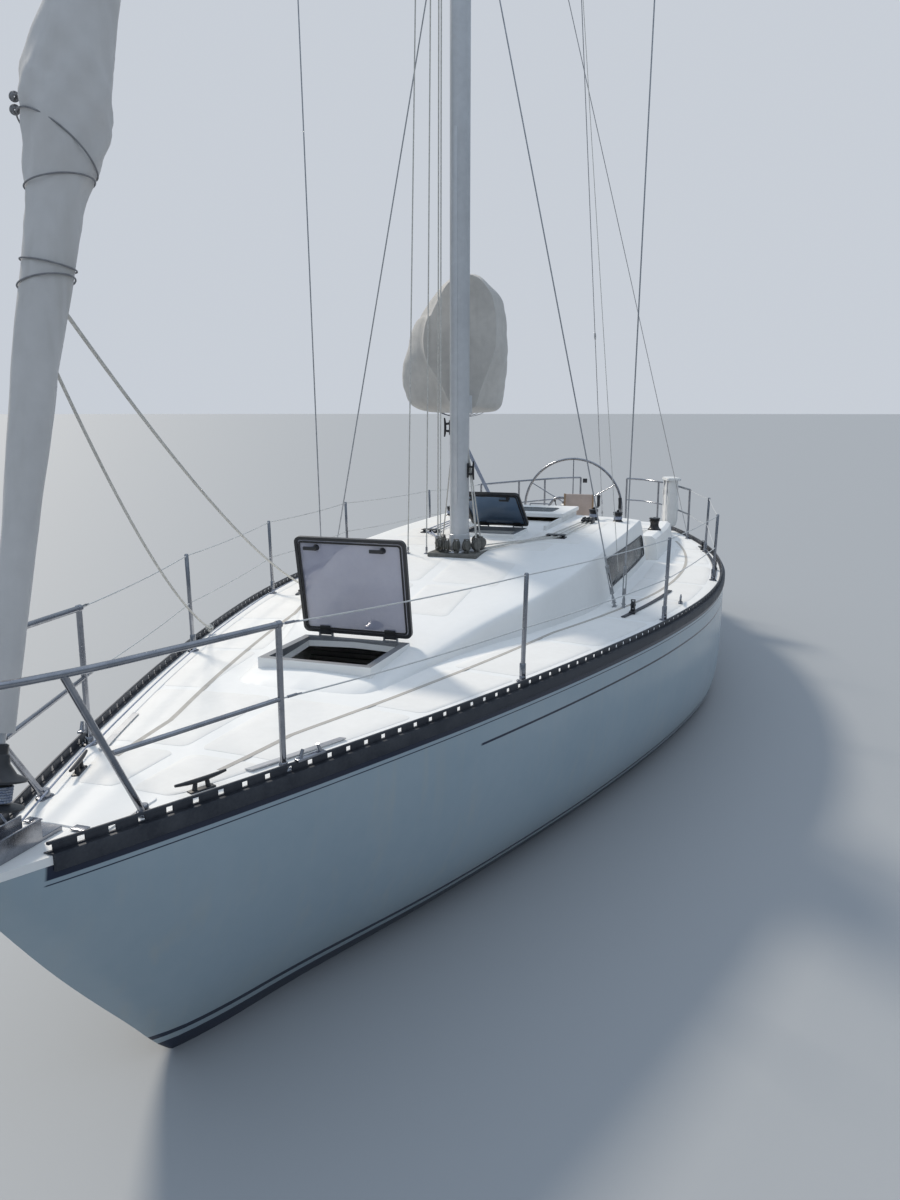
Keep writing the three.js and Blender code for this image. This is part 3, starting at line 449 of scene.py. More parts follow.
def grain(tree, scale):
    """Height of a fine even grain, such as moulded plastic or sprayed paint has."""
    broad = noise(tree, place(tree), times(tree, scale, 0.08), 3.0)
    fine = noise(tree, place(tree), scale, 2.0)
    return {"Height": node(tree, "Math", {0: fine, 1: times(tree, broad, 0.6)}, operation="ADD")}


def streaks(tree, scale, reach):
    """Mask of thin streaks that run down a surface, as rain and salt leave them."""
    edge = ramp(tree, noise(tree, place(tree, (1, 1, 0.06)), scale, 6.0), 0.52, 0.74)
    spread = ramp(tree, noise(tree, place(tree), 1.7), 0.35, 0.75)
    return {"Mask": times(tree, times(tree, edge, spread), reach)}


def weave(tree, threads):
    """Height and shade of a plain weave: two crossed waves on the piece's own UV map."""
    waves = [node(tree, "Math", {0: times(tree, times(tree, along, threads), 2 * math.pi)}, operation="SINE")
             for along in list(split(tree, "UV"))[:2]]
    crossed = times(tree, *waves)
    return {"Height": crossed, "Shade": ramp(tree, crossed, -1, 1, 0.94, 1.0)}


DRIFT = group("tone_drift", {"Tone": (COLOUR, (0.8, 0.8, 0.8, 1)), "Other tone": (COLOUR, (0.7, 0.7, 0.7, 1)),
                             "Patch scale": (VALUE, 3.0)}, drift)
GRAIN = group("fine_grain", {"Grains per metre": (VALUE, 900.0)}, grain)
STREAKS = group("run_streaks", {"Streaks per metre": (VALUE, 14.0), "Reach": (VALUE, 0.5)}, streaks)
WEAVE = group("plain_weave", {"Threads per metre": (VALUE, 500.0)}, weave)
print("groups", [tree.name for tree in bpy.data.node_groups])

# %% [markdown]
# ## Finishes
# Gelcoat, anodised alloy, polished steel, cloth, tinted acrylic and rope are all one recipe: a
# Principled shader whose colour and roughness come from a drift group, with a grain in its bump. What
# differs are the tones and how glossy, metallic or clear it is, so one function makes them.

# %% Material recipe
def finish(name, slot, tone, other, patch=3.0, rough=(0.3, 0.4), metal=0.0, bump=0.05, grain=900.0,
           reach=0.0004, streak=None, coat=0.0, alpha=1.0, sheen=0.0, specular=0.5):
    """Material from a drifting tone, a grain and, for an outdoor surface, a few streaks."""
    material = bpy.data.materials.new(name)
    material.use_nodes = True
    tree = material.node_tree
    tones = {"Tone": (*tone, 1), "Other tone": (*other, 1), "Patch scale": patch}
    colour = node(tree, "Group", tones, "Color", node_tree=DRIFT)
    mask = colour.node.outputs["Mask"]
    if streak:
        runs = node(tree, "Group", {"Reach": streak[1]}, "Mask", node_tree=STREAKS)
        colour = mixed(tree, runs, colour, (*streak[0], 1))
    height = node(tree, "Group", {"Grains per metre": grain}, "Height", node_tree=GRAIN)
    normal = node(tree, "Bump", {"Strength": bump, "Distance": reach, "Height": height})
    feed(tree, tree.nodes["Principled BSDF"], {
        "Base Color": colour, "Roughness": ramp(tree, mask, 0, 1, *rough), "Normal": normal,
        "Metallic": metal,
        "Coat Weight": coat, "Alpha": alpha, "Sheen Weight": sheen, "Specular IOR Level": specular})
    SLOTS[name] = slot
    return material


DECK, SPAR, SHINY = "deck_white", "spar_alloy", "steel"
FITTING, CLEAR, CLOTH = "black_fitting", "acrylic", "sailcloth"
GLOSS_DECK = finish("deck_gelcoat", DECK, (0.88, 0.88, 0.865), (0.84, 0.84, 0.825), 2.2, (0.46, 0.60),
                    bump=0.02, specular=0.25)
GRIP_DECK = finish("deck_grip", DECK, (0.85, 0.84, 0.815), (0.80, 0.79, 0.765), 3.0, (0.62, 0.78), 0, 0.55,
                   260, 0.0012)
ALLOY = finish("anodised_alloy", SPAR, (0.56, 0.57, 0.59), (0.46, 0.47, 0.49), 5.0, (0.30, 0.46), 0.85, 0.06)
RAIL_ALLOY = finish("rail_alloy", SPAR, (0.035, 0.040, 0.052), (0.075, 0.08, 0.092), 9.0, (0.4, 0.6),
                    0.5, 0.12)
# Dark tone for polished steel: painted shade and painted reflection of dark surroundings on its tubes.
STEEL = finish("polished_steel", SHINY, (0.36, 0.37, 0.40), (0.26, 0.27, 0.30), 14.0, (0.16, 0.30), 1.0, 0.03)
BLACK = finish("black_anodising", FITTING, (0.022, 0.023, 0.026), (0.035, 0.036, 0.04), 12.0,
               (0.32, 0.5), 0, 0.15)
RUBBER = finish("black_rubber", FITTING, (0.02, 0.02, 0.022), (0.035, 0.034, 0.033), 10.0, (0.6, 0.8), 0, 0.3)
LINER = finish("inside_liner", None, (0.52, 0.52, 0.50), (0.46, 0.46, 0.44), 2.0, (0.6, 0.8), 0, 0.2)
WHITE_MOULD = finish("white_moulding", DECK, (0.80, 0.80, 0.79), (0.73, 0.73, 0.71), 6.0, (0.35, 0.5))
ANTIFOUL = finish("antifouling", "gelcoat", (0.035, 0.055, 0.095), (0.055, 0.075, 0.11), 5.0,
                  (0.75, 0.9), 0, 0.5, 120, 0.002)
BRONZE = finish("cast_bronze", "bronze", (0.42, 0.27, 0.12), (0.26, 0.20, 0.11), 25.0, (0.35, 0.6), 1.0, 0.2)
SOLE = finish("sole_wood", None, (0.24, 0.12, 0.055), (0.33, 0.17, 0.08), 4.0, (0.35, 0.5), 0, 0.1)
ENGINE = finish("engine_paint", None, (0.32, 0.35, 0.37), (0.25, 0.27, 0.29), 8.0, (0.45, 0.65), 0.1, 0.2)
WHITE_ROPE = finish("white_rope", CLOTH, (0.66, 0.65, 0.61), (0.50, 0.49, 0.46), 60.0, (0.8, 0.95), 0,
                    0.8, 420, 0.0015)
BLUE_ROPE = finish("blue_fleck_rope", CLOTH, (0.52, 0.54, 0.58), (0.12, 0.17, 0.30), 160.0, (0.8, 0.95), 0,
                   0.8, 420, 0.0015)
# The smoked pane's tone is lighter than its tint: painted light of the sun shining through it.
SMOKE = finish("smoked_acrylic", CLEAR, (0.45, 0.46, 0.57), (0.41, 0.42, 0.53), 4.0, (0.06, 0.14), 0, 0.01,
               alpha=0.70)
BLUE_ACRYLIC = finish("blue_acrylic", CLEAR, (0.15, 0.235, 0.36), (0.17, 0.26, 0.39), 4.0,
                      (0.05, 0.12), 0, 0.01, alpha=0.84)
print("materials", len(bpy.data.materials))
# %% [markdown]
# ## Camera, light and water level
# The camera stands where the photographer stood: ahead of the bow, on the port side, a little above
# the deck. A broad warm light comes from astern on the starboard side, as the sun does in the
# afternoon, and a pale sky fills the rest. The floor lies at the waterline and has a hole of the
# hull's own outline, so that nothing of it shows through an open hatch.

# %% Camera, light and sky
def aimed(name, data, way, at=(0, 0, 0)):
    """A camera or a light that looks along a direction."""
    made = bpy.data.objects.new(name, data)
    made.location = at
    made.rotation_euler = Vector(way).to_track_quat("-Z", "Y").to_euler()
    bpy.context.scene.collection.objects.link(made)
    return made


YAW, PITCH = -0.326, 0.1988
view = bpy.data.cameras.new("view")
view.lens, view.sensor_width, view.clip_end = 28.14, 36, 2000
forward = (-math.cos(YAW) * math.cos(PITCH), math.sin(YAW) * math.cos(PITCH), -math.sin(PITCH))
bpy.context.scene.camera = aimed("view", view, forward, (7.7756, 2.2359, 2.6411))
sun = bpy.data.lights.new("key", "SUN")
sun.energy, sun.angle, sun.color = 2.4, math.radians(9), (1.0, 0.91, 0.78)
aimed("key", sun, (0.446, 0.602, -0.662))

# The sky is bright overhead and dim at the horizon, and the camera sees an even pale tone of it.
world = bpy.data.worlds.new("studio_sky")
world.use_nodes = True
lift = ramp(world.node_tree, split(world.node_tree, "Generated")[2], 0.02, 0.75)
sky = mixed(world.node_tree, lift, (0.13, 0.17, 0.21, 1), (0.62, 0.72, 0.86, 1))
seen = node(world.node_tree, "LightPath", output="Is Camera Ray")
feed(world.node_tree, world.node_tree.nodes["Background"],
     {"Color": mixed(world.node_tree, seen, sky, (0.58, 0.62, 0.68, 1))})
bpy.context.scene.world = world
bpy.context.scene.view_settings.view_transform = "Standard"
print("camera at", [round(v, 2) for v in bpy.context.scene.camera.location])

# %% [markdown]
# ## The hull
# The real hull is a moulded shell of glass fibre, and its shape is a family of sections. Each section
# is a power curve: slack and V-shaped at the bow, round amidships. The skin is a grid over station
# and girth, and the same formula with a wall's thickness taken off gives the inside.

# %% Hull surface
def smooth(x):
    x = np.clip(x, 0, 1)
    return x * x * (3 - 2 * x)


def sections(t, shrink=0.0, count=34):
    """Hull sections at stations t, each from the port deck edge round the keel line to starboard. At
    the share s of its height, the half width is the half beam times (1 - (1 - s) ^ fullness) to the
    power of 1 / roundness. shrink draws the section in by a wall."""
    t = np.asarray(t, float)[:, None]
    half, keel, full, rounded = (through(HULL_LINES, t, k) for k in (1, 2, 3, 4))
    edge, low = sheer_at(t), keel + shrink
    s = np.linspace(0, 1, count)[None] ** 1.6 * (edge - DECK_THICK - low) / (edge - low)
    y = half * (1 - (1 - s) ** full) ** (1 / rounded) * (1 - shrink / half)
    z = low + s * (edge - low)
    x = BOW - LENGTH * t + 0.16 * smooth((t - 0.88) / 0.12) * (edge - z)
    side = np.stack([x, y, z], -1)
    return np.concatenate([side[:, ::-1], side[:, 1:] * [1, -1, 1]], 1)


def hull_part():
    """Outer sections and inner sections joined to one ring a station, with the stem, the transom and
    the strips at the deck edge closed."""
    t = np.linspace(0, 1, 150) ** 1.12
    outer = sections(t)
    points, faces = grid(np.concatenate([outer, sections(0.045 + t * 0.947, WALL)[:, ::-1]], 1), ring=True)
    m = outer.shape[1]
    index = np.arange(len(points)).reshape(len(t), 2 * m)
    a, b = index[0], index[-1]
    faces += [a[None, m - 1::-1], a[None, :m - 1:-1], a[None, [m, m - 1, 0, -1]],
              b[None, :m], b[None, m:], b[None, [m - 1, m, -1, 0]]]
    column = np.tile(np.arange(2 * m), len(t) - 1)
    inside = np.concatenate([(column >= m) & (column < 2 * m - 1), [False, True, False, False, True, False]])
    return (points, outward(points, faces)), inside


hull_mesh, hull_inside = hull_part()
print("hull points", len(hull_mesh[0]))

# %% [markdown]
# ## The hull's finish
# The topsides' gelcoat has a pale blue tint, and its tone is darkened further as painted shade, as for a side
# that lies in shadow. It carries a thin dark cove line along the topsides, a dark band under the toe rail,
# and a double boot stripe at the water; below that is antifouling paint. The height alone places the boot
# stripes. The cove line follows the deck edge, so each point stores its distance below it.

# %% Topsides material
NAVY = (0.018, 0.026, 0.052, 1)


def shader_of(material):
    return material.node_tree, material.node_tree.nodes["Principled BSDF"]


def feeding(shader, label):
    """The socket that feeds one of a shader's inputs."""
    return shader.inputs[label].links[0].from_socket


def band(tree, source, low, high, edge=0.0012):
    """Mask that is 1 between two values of a source."""
    return times(tree, ramp(tree, source, low - edge, low + edge),
                 ramp(tree, source, high - edge, high + edge, 1.0, 0.0))


def topsides_finish():
    # Topsides tone: the gelcoat's pale blue tint, darkened further as painted shade.
    material = finish("topsides_gelcoat", "gelcoat", (0.37, 0.45, 0.50), (0.335, 0.42, 0.475), 1.4,
                      (0.12, 0.22), bump=0.012, streak=((0.52, 0.50, 0.42), 0.35), specular=0.32)
    tree, shader = shader_of(material)
    apart = split(tree, "Object")
    x, z = apart[0], apart[2]
    depth = node(tree, "Attribute", output="Fac", attribute_name="below_sheer")
    reach = times(tree, ramp(tree, x, 3.48, 3.5, 1.0, 0.0), ramp(tree, x, -5.58, -5.56))
    grime = times(tree, ramp(tree, z, 0.17, 0.42, 0.30, 0.0), noise(tree, place(tree, (1, 1, 0.3)), 5.0))
    colour = mixed(tree, grime, feeding(shader, "Base Color"), (0.42, 0.42, 0.34, 1))
    fore = ramp(tree, x, 5.565, 5.575, 1.0, 0.0)
    for mask in (times(tree, band(tree, depth, 0.196, 0.209), reach),
                 times(tree, band(tree, depth, -0.02, 0.082), fore),
                 times(tree, band(tree, depth, 0.098, 0.103), fore),
                 band(tree, z, 0.128, 0.158), band(tree, z, -0.02, 0.090)):
        colour = mixed(tree, mask, colour, NAVY)
    under = ramp(tree, z, -0.0015, 0.0015, 1.0, 0.0)
    paint = mixed(tree, noise(tree, place(tree), 6.0), (0.03, 0.045, 0.085, 1), (0.055, 0.075, 0.12, 1))
    feed(tree, shader, {"Base Color": mixed(tree, under, colour, paint),
                        "Roughness": ramp(tree, under, 0, 1, feeding(shader, "Roughness"), 0.82)})
    return material


hull = piece("hull", hull_mesh, topsides_finish(), "hull_shell",
             extra={"below_sheer": sheer(hull_mesh[0][:, 0]) - hull_mesh[0][:, 2]})
second_finish(hull, LINER, hull_inside)
print("hull faces", len(hull.data.polygons))

# %% Floor at the waterline
def waterline(count=60):
    """Half width of the hull at Z 0 for stations between the two places where the keel line meets it."""
    t = np.linspace(0.086, 0.925, count)
    half = np.array([np.interp(0, row[33::-1, 2], row[33::-1, 1]) for row in sections(t, 0.015)])
    x = BOW - LENGTH * t
    return np.concatenate([np.stack([x, half, 0 * x], -1), np.stack([x, -half, 0 * x], -1)[::-1]])


def floor_part():
    """Rings that spread from the waterline's outline to far off."""
    outline = waterline()
    angle = np.arctan2(outline[:, 1], outline[:, 0])
    far = np.stack([np.cos(angle), np.sin(angle), 0 * angle], -1)
    spread = ((0, 0), (0.3, 6), (0.7, 25), (1, 90), (1, 900))
    points, faces = grid([outline * (1 - k) + far * reach for k, reach in spread], ring=True)
    return points, [group[:, ::-1] for group in faces]


FLOOR = finish("pale_floor", None, (0.36, 0.375, 0.39), (0.36, 0.375, 0.39), 0.2, (0.65, 0.65), bump=0.0)
floor = piece("floor", floor_part(), FLOOR)
print("floor", len(floor.data.polygons), "faces")

# %% [markdown]
# ## The deck
# The deck is a crowned slab with openings for the coachroof and the cockpit. It is laid as strips: the
# foredeck and the aft deck go right across, and a side deck runs along each side between them. Grip
# panels are moulded into it, and the smooth ways between them are the thin seams that show from the
# bow. A panel is a rounded outline drawn in ring by ring and laid on the deck's own height.

# %% Deck strips
def deck_strip(x, near, far, columns):
    """Closed slab over rows of x: the top runs from near to far and follows the crown."""
    x, near, far = x[:, None], near[:, None], far[:, None]
    w = np.linspace(0, 1, columns)[None]
    y = near * (1 - w) + far * w
    top = np.stack([x + 0 * y, y, deck_z(x + 0 * y, y)], -1)
    under = np.hstack([sheer(x) - DECK_THICK] * 2)
    foot = np.stack([np.hstack([x, x]), np.hstack([far, near]), under], -1)
    return solid(np.concatenate([top, foot], 1))


def well_side(x):
    """Half width of the cockpit inside its coamings."""
    return np.interp(x, [-4.7, -4, -3, -1.8], [0.78, 0.93, 1, 1])


def inboard(x):
    """Inner edge of the side deck: under the coachroof's side, then under the cockpit's coaming."""
    return np.where(x > -1.76, through(ROOF_LINES, x, 1) - 0.06, well_side(x) + 0.1)


fore_x, side_x = np.linspace(5.799, 3.53, 60), np.linspace(3.53, -4.62, 150)
aft_x = np.linspace(-4.62, -5.799, 30)
side_deck = deck_strip(side_x, inboard(side_x), half_beam(side_x), 9)
deck = piece("deck_moulding", [deck_strip(fore_x, -half_beam(fore_x), half_beam(fore_x), 21), side_deck,
                               mirrored(side_deck),
                               deck_strip(aft_x, -half_beam(aft_x), half_beam(aft_x), 21)],
             GLOSS_DECK, "deck")
print("deck", len(deck.data.polygons), "faces")

# %% The coachroof's own surface
def roof_side(x, grow=0.0):
    """Port half of the coachroof's section at each x, from its foot over the shoulder to the
    centreline: a smooth curve through six points that the half width and the height give."""
    x = np.asarray(x, float)
    half, height = (through(ROOF_LINES, x, k) + grow for k in (1, 2))
    rail = sheer(x)
    edge = np.maximum(height - 0.07, rail - 0.06)
    shoulder = half - 0.2 * np.maximum(edge - rail, 0)
    y = np.stack([half, half, shoulder, shoulder - 0.045, shoulder * 0.6, 0 * half], -1)
    z = np.stack([rail - 0.26, rail - 0.10, edge, *(edge + (height - edge) * k for k in (0.54, 0.83)),
                  height], -1)
    knots = np.column_stack([[0, 1, 2, 2.35, 3.6, 5.2], np.eye(6)])
    at = np.concatenate([np.linspace(0, 1, 4), np.linspace(1, 2.4, 15)[1:], np.linspace(2.4, 5.2, 13)[1:]])
    basis = np.column_stack([through(knots, at, k + 1) for k in range(6)])
    y, z = y @ basis.T, z @ basis.T
    return np.stack([np.broadcast_to(x[:, None], y.shape), y, z], -1)


def passing(falling, want, answer):
    """The answer where each row of falling values passes the wanted one."""
    k = np.clip((falling > want[:, None]).sum(1), 1, falling.shape[1] - 1)
    n = np.arange(len(want))
    a, b = falling[n, k - 1], falling[n, k]
    share = np.clip((a - want) / np.maximum(a - b, 1e-9), 0, 1)
    return answer[n, k - 1] * (1 - share) + answer[n, k] * share


def roof_z(x, y):
    """Height of the coachroof over a point, from its section there."""
    rows = roof_side(np.ravel(x))
    return passing(rows[..., 1], np.abs(np.ravel(y)), rows[..., 2]).reshape(np.shape(x))


def side_y(x, z):
    """Half width of the coachroof's side at a height."""
    rows = roof_side(np.ravel(x))
    return passing(-rows[..., 2], -np.ravel(z), rows[..., 1]).reshape(np.shape(x))


print("roof height over the mast step", round(float(roof_z(0.936, 0)), 3))

# %% Grip panels
def round_outline(long, wide, radius, edge=14, corner=5):
    """Outline of a rectangle with round corners, centred, with points along its straight sides."""
    a, b = long / 2, wide / 2
    r = min(radius, a * 0.95, b * 0.95)
    turn, run = np.linspace(0, np.pi / 2, corner + 1), np.linspace(-1, 1, edge + 1)[1:-1]
    cx, cy = a - r, b - r
    arcs = [np.stack([sx * cx + r * np.cos(turn + k * np.pi / 2),
                      sy * cy + r * np.sin(turn + k * np.pi / 2)], -1)
            for k, (sx, sy) in enumerate(((1, 1), (-1, 1), (-1, -1), (1, -1)))]
    sides = [np.stack([-run * cx, 0 * run + b], -1), np.stack([0 * run - a, -run * cy], -1),
             np.stack([run * cx, 0 * run - b], -1), np.stack([0 * run + a, run * cy], -1)]
    return np.concatenate([part for pair in zip(arcs, sides) for part in pair])


def panel(x0, x1, near, far, height, lift=0.0022, corner=0.05, foot=0.004):
    """Thin raised panel that follows two edges: its outline is drawn in towards the middle, and each
    ring is laid on the surface below it, lifted by a little except at its foot."""
    run = np.linspace(x0, x1, 9)
    wide = float(np.mean(far(run) - near(run)))
    scale = np.array([1, 1, 0.985, 0.8, 0.6, 0.4, 0.2, 0.02])[:, None, None]
    raised = np.array([-foot, lift * 0.4, *[lift] * 6])[:, None]
    flat = round_outline(x1 - x0, wide, corner)[None] * scale
    x = (x0 + x1) / 2 + flat[..., 0]
    w = flat[..., 1] / wide + 0.5
    y = near(x) * (1 - w) + far(x) * w
    return solid(np.stack([x, y, height(x, y) + raised], -1))


def roof_edge(gap):
    return lambda x: through(ROOF_LINES, x, 1) + gap


def rail_edge(gap):
    return lambda x: half_beam(x) - gap


def level(value):
    return lambda x: 0 * x + value


def coaming_edge(x):
    return well_side(x) + 0.30


deck_panels = [(4.62, 5.02, level(0.035), 0.15), (3.80, 4.56, level(0.035), 0.13),
               (2.98, 3.74, roof_edge(0.10), 0.13), (2.10, 2.92, roof_edge(0.09), 0.13),
               (1.22, 2.04, roof_edge(0.08), 0.13),
               (0.34, 1.16, roof_edge(0.08), 0.13), (-0.54, 0.28, roof_edge(0.08), 0.13),
               (-1.70, -0.60, roof_edge(0.08), 0.13), (-2.90, -1.90, coaming_edge, 0.13),
               (-3.96, -2.96, coaming_edge, 0.13), (-5.05, -4.86, level(0.04), 0.16)]
roof_panels = [(1.16, 1.72, 0.045, 0.52), (1.78, 2.36, 0.045, 0.38), (0.34, 0.72, 0.045, 0.62),
               (-1.26, -0.34, 0.44, 0.80), (-0.28, 0.28, 0.36, 0.80)]
laid = [panel(a, b, near, rail_edge(gap), deck_z) for a, b, near, gap in deck_panels]
laid += [panel(a, b, level(near), level(far), roof_z, 0.0018) for a, b, near, far in roof_panels]
grips = piece("grip_panels", both(join(laid)), GRIP_DECK)
print("grip panels", len(grips.data.polygons), "faces")

# %% [markdown]
# ## The coachroof
# A low moulded house with soft shoulders. Its section is one smooth curve at each place along the
# boat. Hatches, the doorway and the long side lights are cut with exact booleans from the closed form,
# and so is the space inside, which leaves a real shell.

# %% Cutting tools
def read(items, key, width=1, kind=np.int32):
    """One property of all of a mesh's items, as an array."""
    values = np.empty(len(items) * width, kind)
    items.foreach_get(key, values)
    return values.reshape(-1, width) if width > 1 else values


def as_part(mesh):
    """A part back from a mesh, its faces sorted into arrays by how many corners they have."""
    corner, start = read(mesh.loops, "vertex_index"), read(mesh.polygons, "loop_start")
    total = read(mesh.polygons, "loop_total")
    faces = [corner[start[total == n][:, None] + np.arange(n)] for n in np.unique(total)]
    return read(mesh.vertices, "co", 3, np.float32).astype(float), faces


def bare(name, part):
    """An object without a finish, for a boolean."""
    mesh = bpy.data.meshes.new(name)
    mesh.from_pydata(part[0].tolist(), [], [list(map(int, f)) for group in part[1] for f in group])
    made = bpy.data.objects.new(name, mesh)
    bpy.context.scene.collection.objects.link(made)
    return made


def carved(part, cutters):
    """A part with others cut out of it by exact booleans."""
    body = bare("carve_body", part)
    tools = [bare(f"carve_tool_{k}", cutter) for k, cutter in enumerate(cutters)]
    for tool in tools:
        cut = body.modifiers.new("cut", "BOOLEAN")
        cut.operation, cut.solver, cut.object = "DIFFERENCE", "EXACT", tool
    result = as_part(body.evaluated_get(bpy.context.evaluated_depsgraph_get()).to_mesh())
    for mesh in [made.data for made in (body, *tools)]:
        bpy.data.objects.remove(bpy.data.objects[mesh.name])
        bpy.data.meshes.remove(mesh)
    return result


def cube(x, y, z):
    """Box with sharp edges, from three pairs of ends."""
    return plate([[x[0], y[0]], [x[1], y[0]], [x[1], y[1]], [x[0], y[1]]], *z)


def roof_body(x, grow):
    port = roof_side(x, grow)
    return solid(np.concatenate([port, port[:, -2::-1] * [1, -1, 1]], 1))


# %% Coachroof shell
WINDOW = np.array([[-1.60, 1.245], [0.38, 1.268], [0.49, 1.484], [-1.60, 1.428]])


def window_outline(inset=0.0, radius=0.05):
    """The side light's four corners, drawn in by an inset, each rounded by a curve, with points along
    the straight sides between them."""
    c = WINDOW + np.sign(WINDOW.mean(0) - WINDOW) * inset
    curves = [corner_curve(c[k - 1], c[k], c[k - 3], radius) for k in range(4)]
    out = []
    for k, count in enumerate((18, 5, 18, 5)):
        run = np.linspace(0, 1, count)[1:-1, None]
        out += [curves[k], curves[k][-1] * (1 - run) + curves[k - 3][0] * run]
    return np.concatenate(out)


roof_x = np.concatenate([np.linspace(-1.75, 3.3, 56), np.linspace(3.3, 3.76, 12)[1:]])
shell = carved(roof_body(roof_x, 0.0), [
    roof_body(np.linspace(-1.715, 3.45, 40), -0.035), cube((-1.95, -1.1), (-0.31, 0.31), (1.2, 2)),
    cube((2.915, 3.395), (-0.29, 0.29), (0.7, 2)), cube((-0.2, 0.2), (-0.21, 0.21), (1.3, 2)),
    plate(window_outline(), 0.7, 1.5, 1), plate(window_outline(), -1.5, -0.7, 1),
])
coachroof = piece("coachroof_moulding", shell, GLOSS_DECK, "coachroof", sharp=math.radians(32))
coachroof.modifiers.new("even_normals", "WEIGHTED_NORMAL").keep_sharp = True
print("coachroof", len(coachroof.data.polygons), "faces")


# %% Side lights
def on_side(flat, out):
    """Pairs of x and height laid on the coachroof's side, moved out by a little."""
    x, z = flat[..., 0], flat[..., 1]
    return np.stack([x, side_y(x, z) + out, z], -1)


def light_pane():
    """The pane: the outline drawn in ring by ring on the coachroof's side, a little inside it."""
    outline = window_outline(0.001)
    middle = outline.mean(0)
    scale = np.array([1, 1, 0.97, 0.6, 0.25, 0.02])[:, None, None]
    depth = np.array([-0.016, -0.007, -0.004, -0.004, -0.004, -0.004])[:, None]
    return solid(on_side(middle + (outline - middle) * scale, depth))


PANE = finish("dark_pane", CLEAR, (0.042, 0.05, 0.058), (0.058, 0.067, 0.075), 3.0, (0.18, 0.3), bump=0.0,
              specular=0.15)
panes = piece("side_lights", both(light_pane()), PANE, ("window_port", "window_stbd"))
piece("side_light_rims", both(tube(on_side(window_outline(-0.004), 0.001), 0.0075, 8, closed=True)), BLACK)
print("side lights", len(panes.data.polygons), "faces")

# %% [markdown]
# ## The toe rail
# The deck edge carries a perforated alloy rail: a foot that laps over the joint of hull and deck, and
# an upright web with a row of slots. Foot, web and bead are one section carried along the sheer. The
# slots are real gaps, because between two slots there stands only a short post.

# %% Toe rail
def along_edge(section, x, side):
    """Section of pairs (out from the half beam, up from the sheer) carried along the deck edge."""
    section, x = np.asarray(section), x[:, None]
    y = half_beam(x) + section[None, :, 0]
    return solid(np.stack([np.broadcast_to(x, y.shape), side * y, sheer(x) + section[None, :, 1]], -1))


FOOT = [(0.0012, -0.052), (0.0105, -0.052), (0.0118, -0.048), (0.0118, 0.004), (0.0098, 0.0085),
        (-0.011, 0.009), (-0.011, 0.014), (-0.019, 0.014), (-0.019, 0.009), (-0.034, 0.008),
        (-0.036, 0.0045), (0.0008, 0.002)]
BEAD = [(-0.010, 0.036), (-0.010, 0.043), (-0.0125, 0.046), (-0.0195, 0.046), (-0.022, 0.043),
        (-0.022, 0.036), (-0.019, 0.0345), (-0.013, 0.0345)]
rail_x, post_x = np.linspace(5.55, -5.55, 170), np.arange(5.50, -5.53, -0.10)


def posts(side):
    """Short posts between the slots: for each, eight corners of a leaning block, as one array."""
    x = post_x[:, None] + [0.037, -0.037]
    y, z = half_beam(x), sheer(x)
    points = np.stack([np.stack([x[:, e], side * (y[:, e] + out), z[:, e] + up], -1) for up in (0.013, 0.037)
                       for e, out in ((0, -0.0125), (0, -0.0175), (1, -0.0175), (1, -0.0125))],
                      1).reshape(-1, 3)
    quads = np.array([[0, 1, 2, 3], [7, 6, 5, 4], [0, 4, 5, 1], [1, 5, 6, 2], [2, 6, 7, 3], [3, 7, 4, 0]])
    return points, outward(points, [(np.arange(len(post_x))[:, None, None] * 8 + quads).reshape(-1, 4)])


for name, side in SIDES:
    piece(f"toe_rail_{name}_fine", [along_edge(FOOT, rail_x, side), along_edge(BEAD, rail_x, side),
                                    posts(side)],
          RAIL_ALLOY)
print("slots a side", len(post_x) - 1)

# %% [markdown]
# ## Pulpit, stanchions, pushpits and lifelines
# These are bent and welded steel tube, so each is a circle carried along a path with rounded corners.
# The wires between them sag only a little, and each ends in a screwed terminal.

# %% Steel tube round the deck
RAIL_HIGH, RAIL_LOW = 0.6, 0.3
TUBE, THIN_TUBE = 0.0128, 0.0098


def deck_point(x, inboard_by, up, side=1):
    """Point over the deck, by its distance in from the deck edge."""
    y = half_beam(x) - inboard_by
    return np.array([x, side * y, deck_z(x, y) + up])


def foot_plate(at):
    return lathe([(0, -0.012), (0.034, -0.012), (0.034, 0.004), (0.03196, 0.0075), (0.019, 0.009),
                  (0.018, 0.034), (0.0155, 0.037), (0, 0.037)], at, 28)


def bolted(at):
    """Foot plate with a ring of four bolt heads."""
    head = [(0, -0.002), (0.0042, -0.002), (0.0042, 0.0024), (0.00252, 0.0036), (0, 0.004)]
    ring = [(0.0265 * math.cos(k), 0.0265 * math.sin(k), 0.0075) for k in around(4) + 0.6]
    return join(foot_plate(at), [lathe(head, at + np.array(spot), 6) for spot in ring])


stanchion_tops = {}
for name, side in SIDES:
    for number, x in enumerate((3.0, 1.04, -0.92, -2.88), 1):
        foot = deck_point(x, 0.085, 0, side)
        top, middle = foot + (0, side * 0.0135, RAIL_HIGH), foot + (0, side * 0.0068, RAIL_LOW)
        stanchion_tops[side, number] = (top - (0, 0, 0.012), middle)
        pole = tube([foot - (0, 0, 0.01), foot + (0, 0, 0.05), middle, top - (0, 0, 0.006), top],
                    [0.0125, 0.0125, 0.0125, 0.0125, 0.009], 18)
        socket = [(0.0126, 0.02), (0.0175, 0.02), (0.0175, 0.10), (0.0155, 0.104), (0.0126, 0.104)]
        piece(f"stanchion_{name}_{number}_fine",
              [pole, rod(middle - (0.017, 0, 0), middle + (0.017, 0, 0), 0.0055), lathe(socket, foot, 20),
               bolted(foot)],
              STEEL)
print("stanchions", len(stanchion_tops))


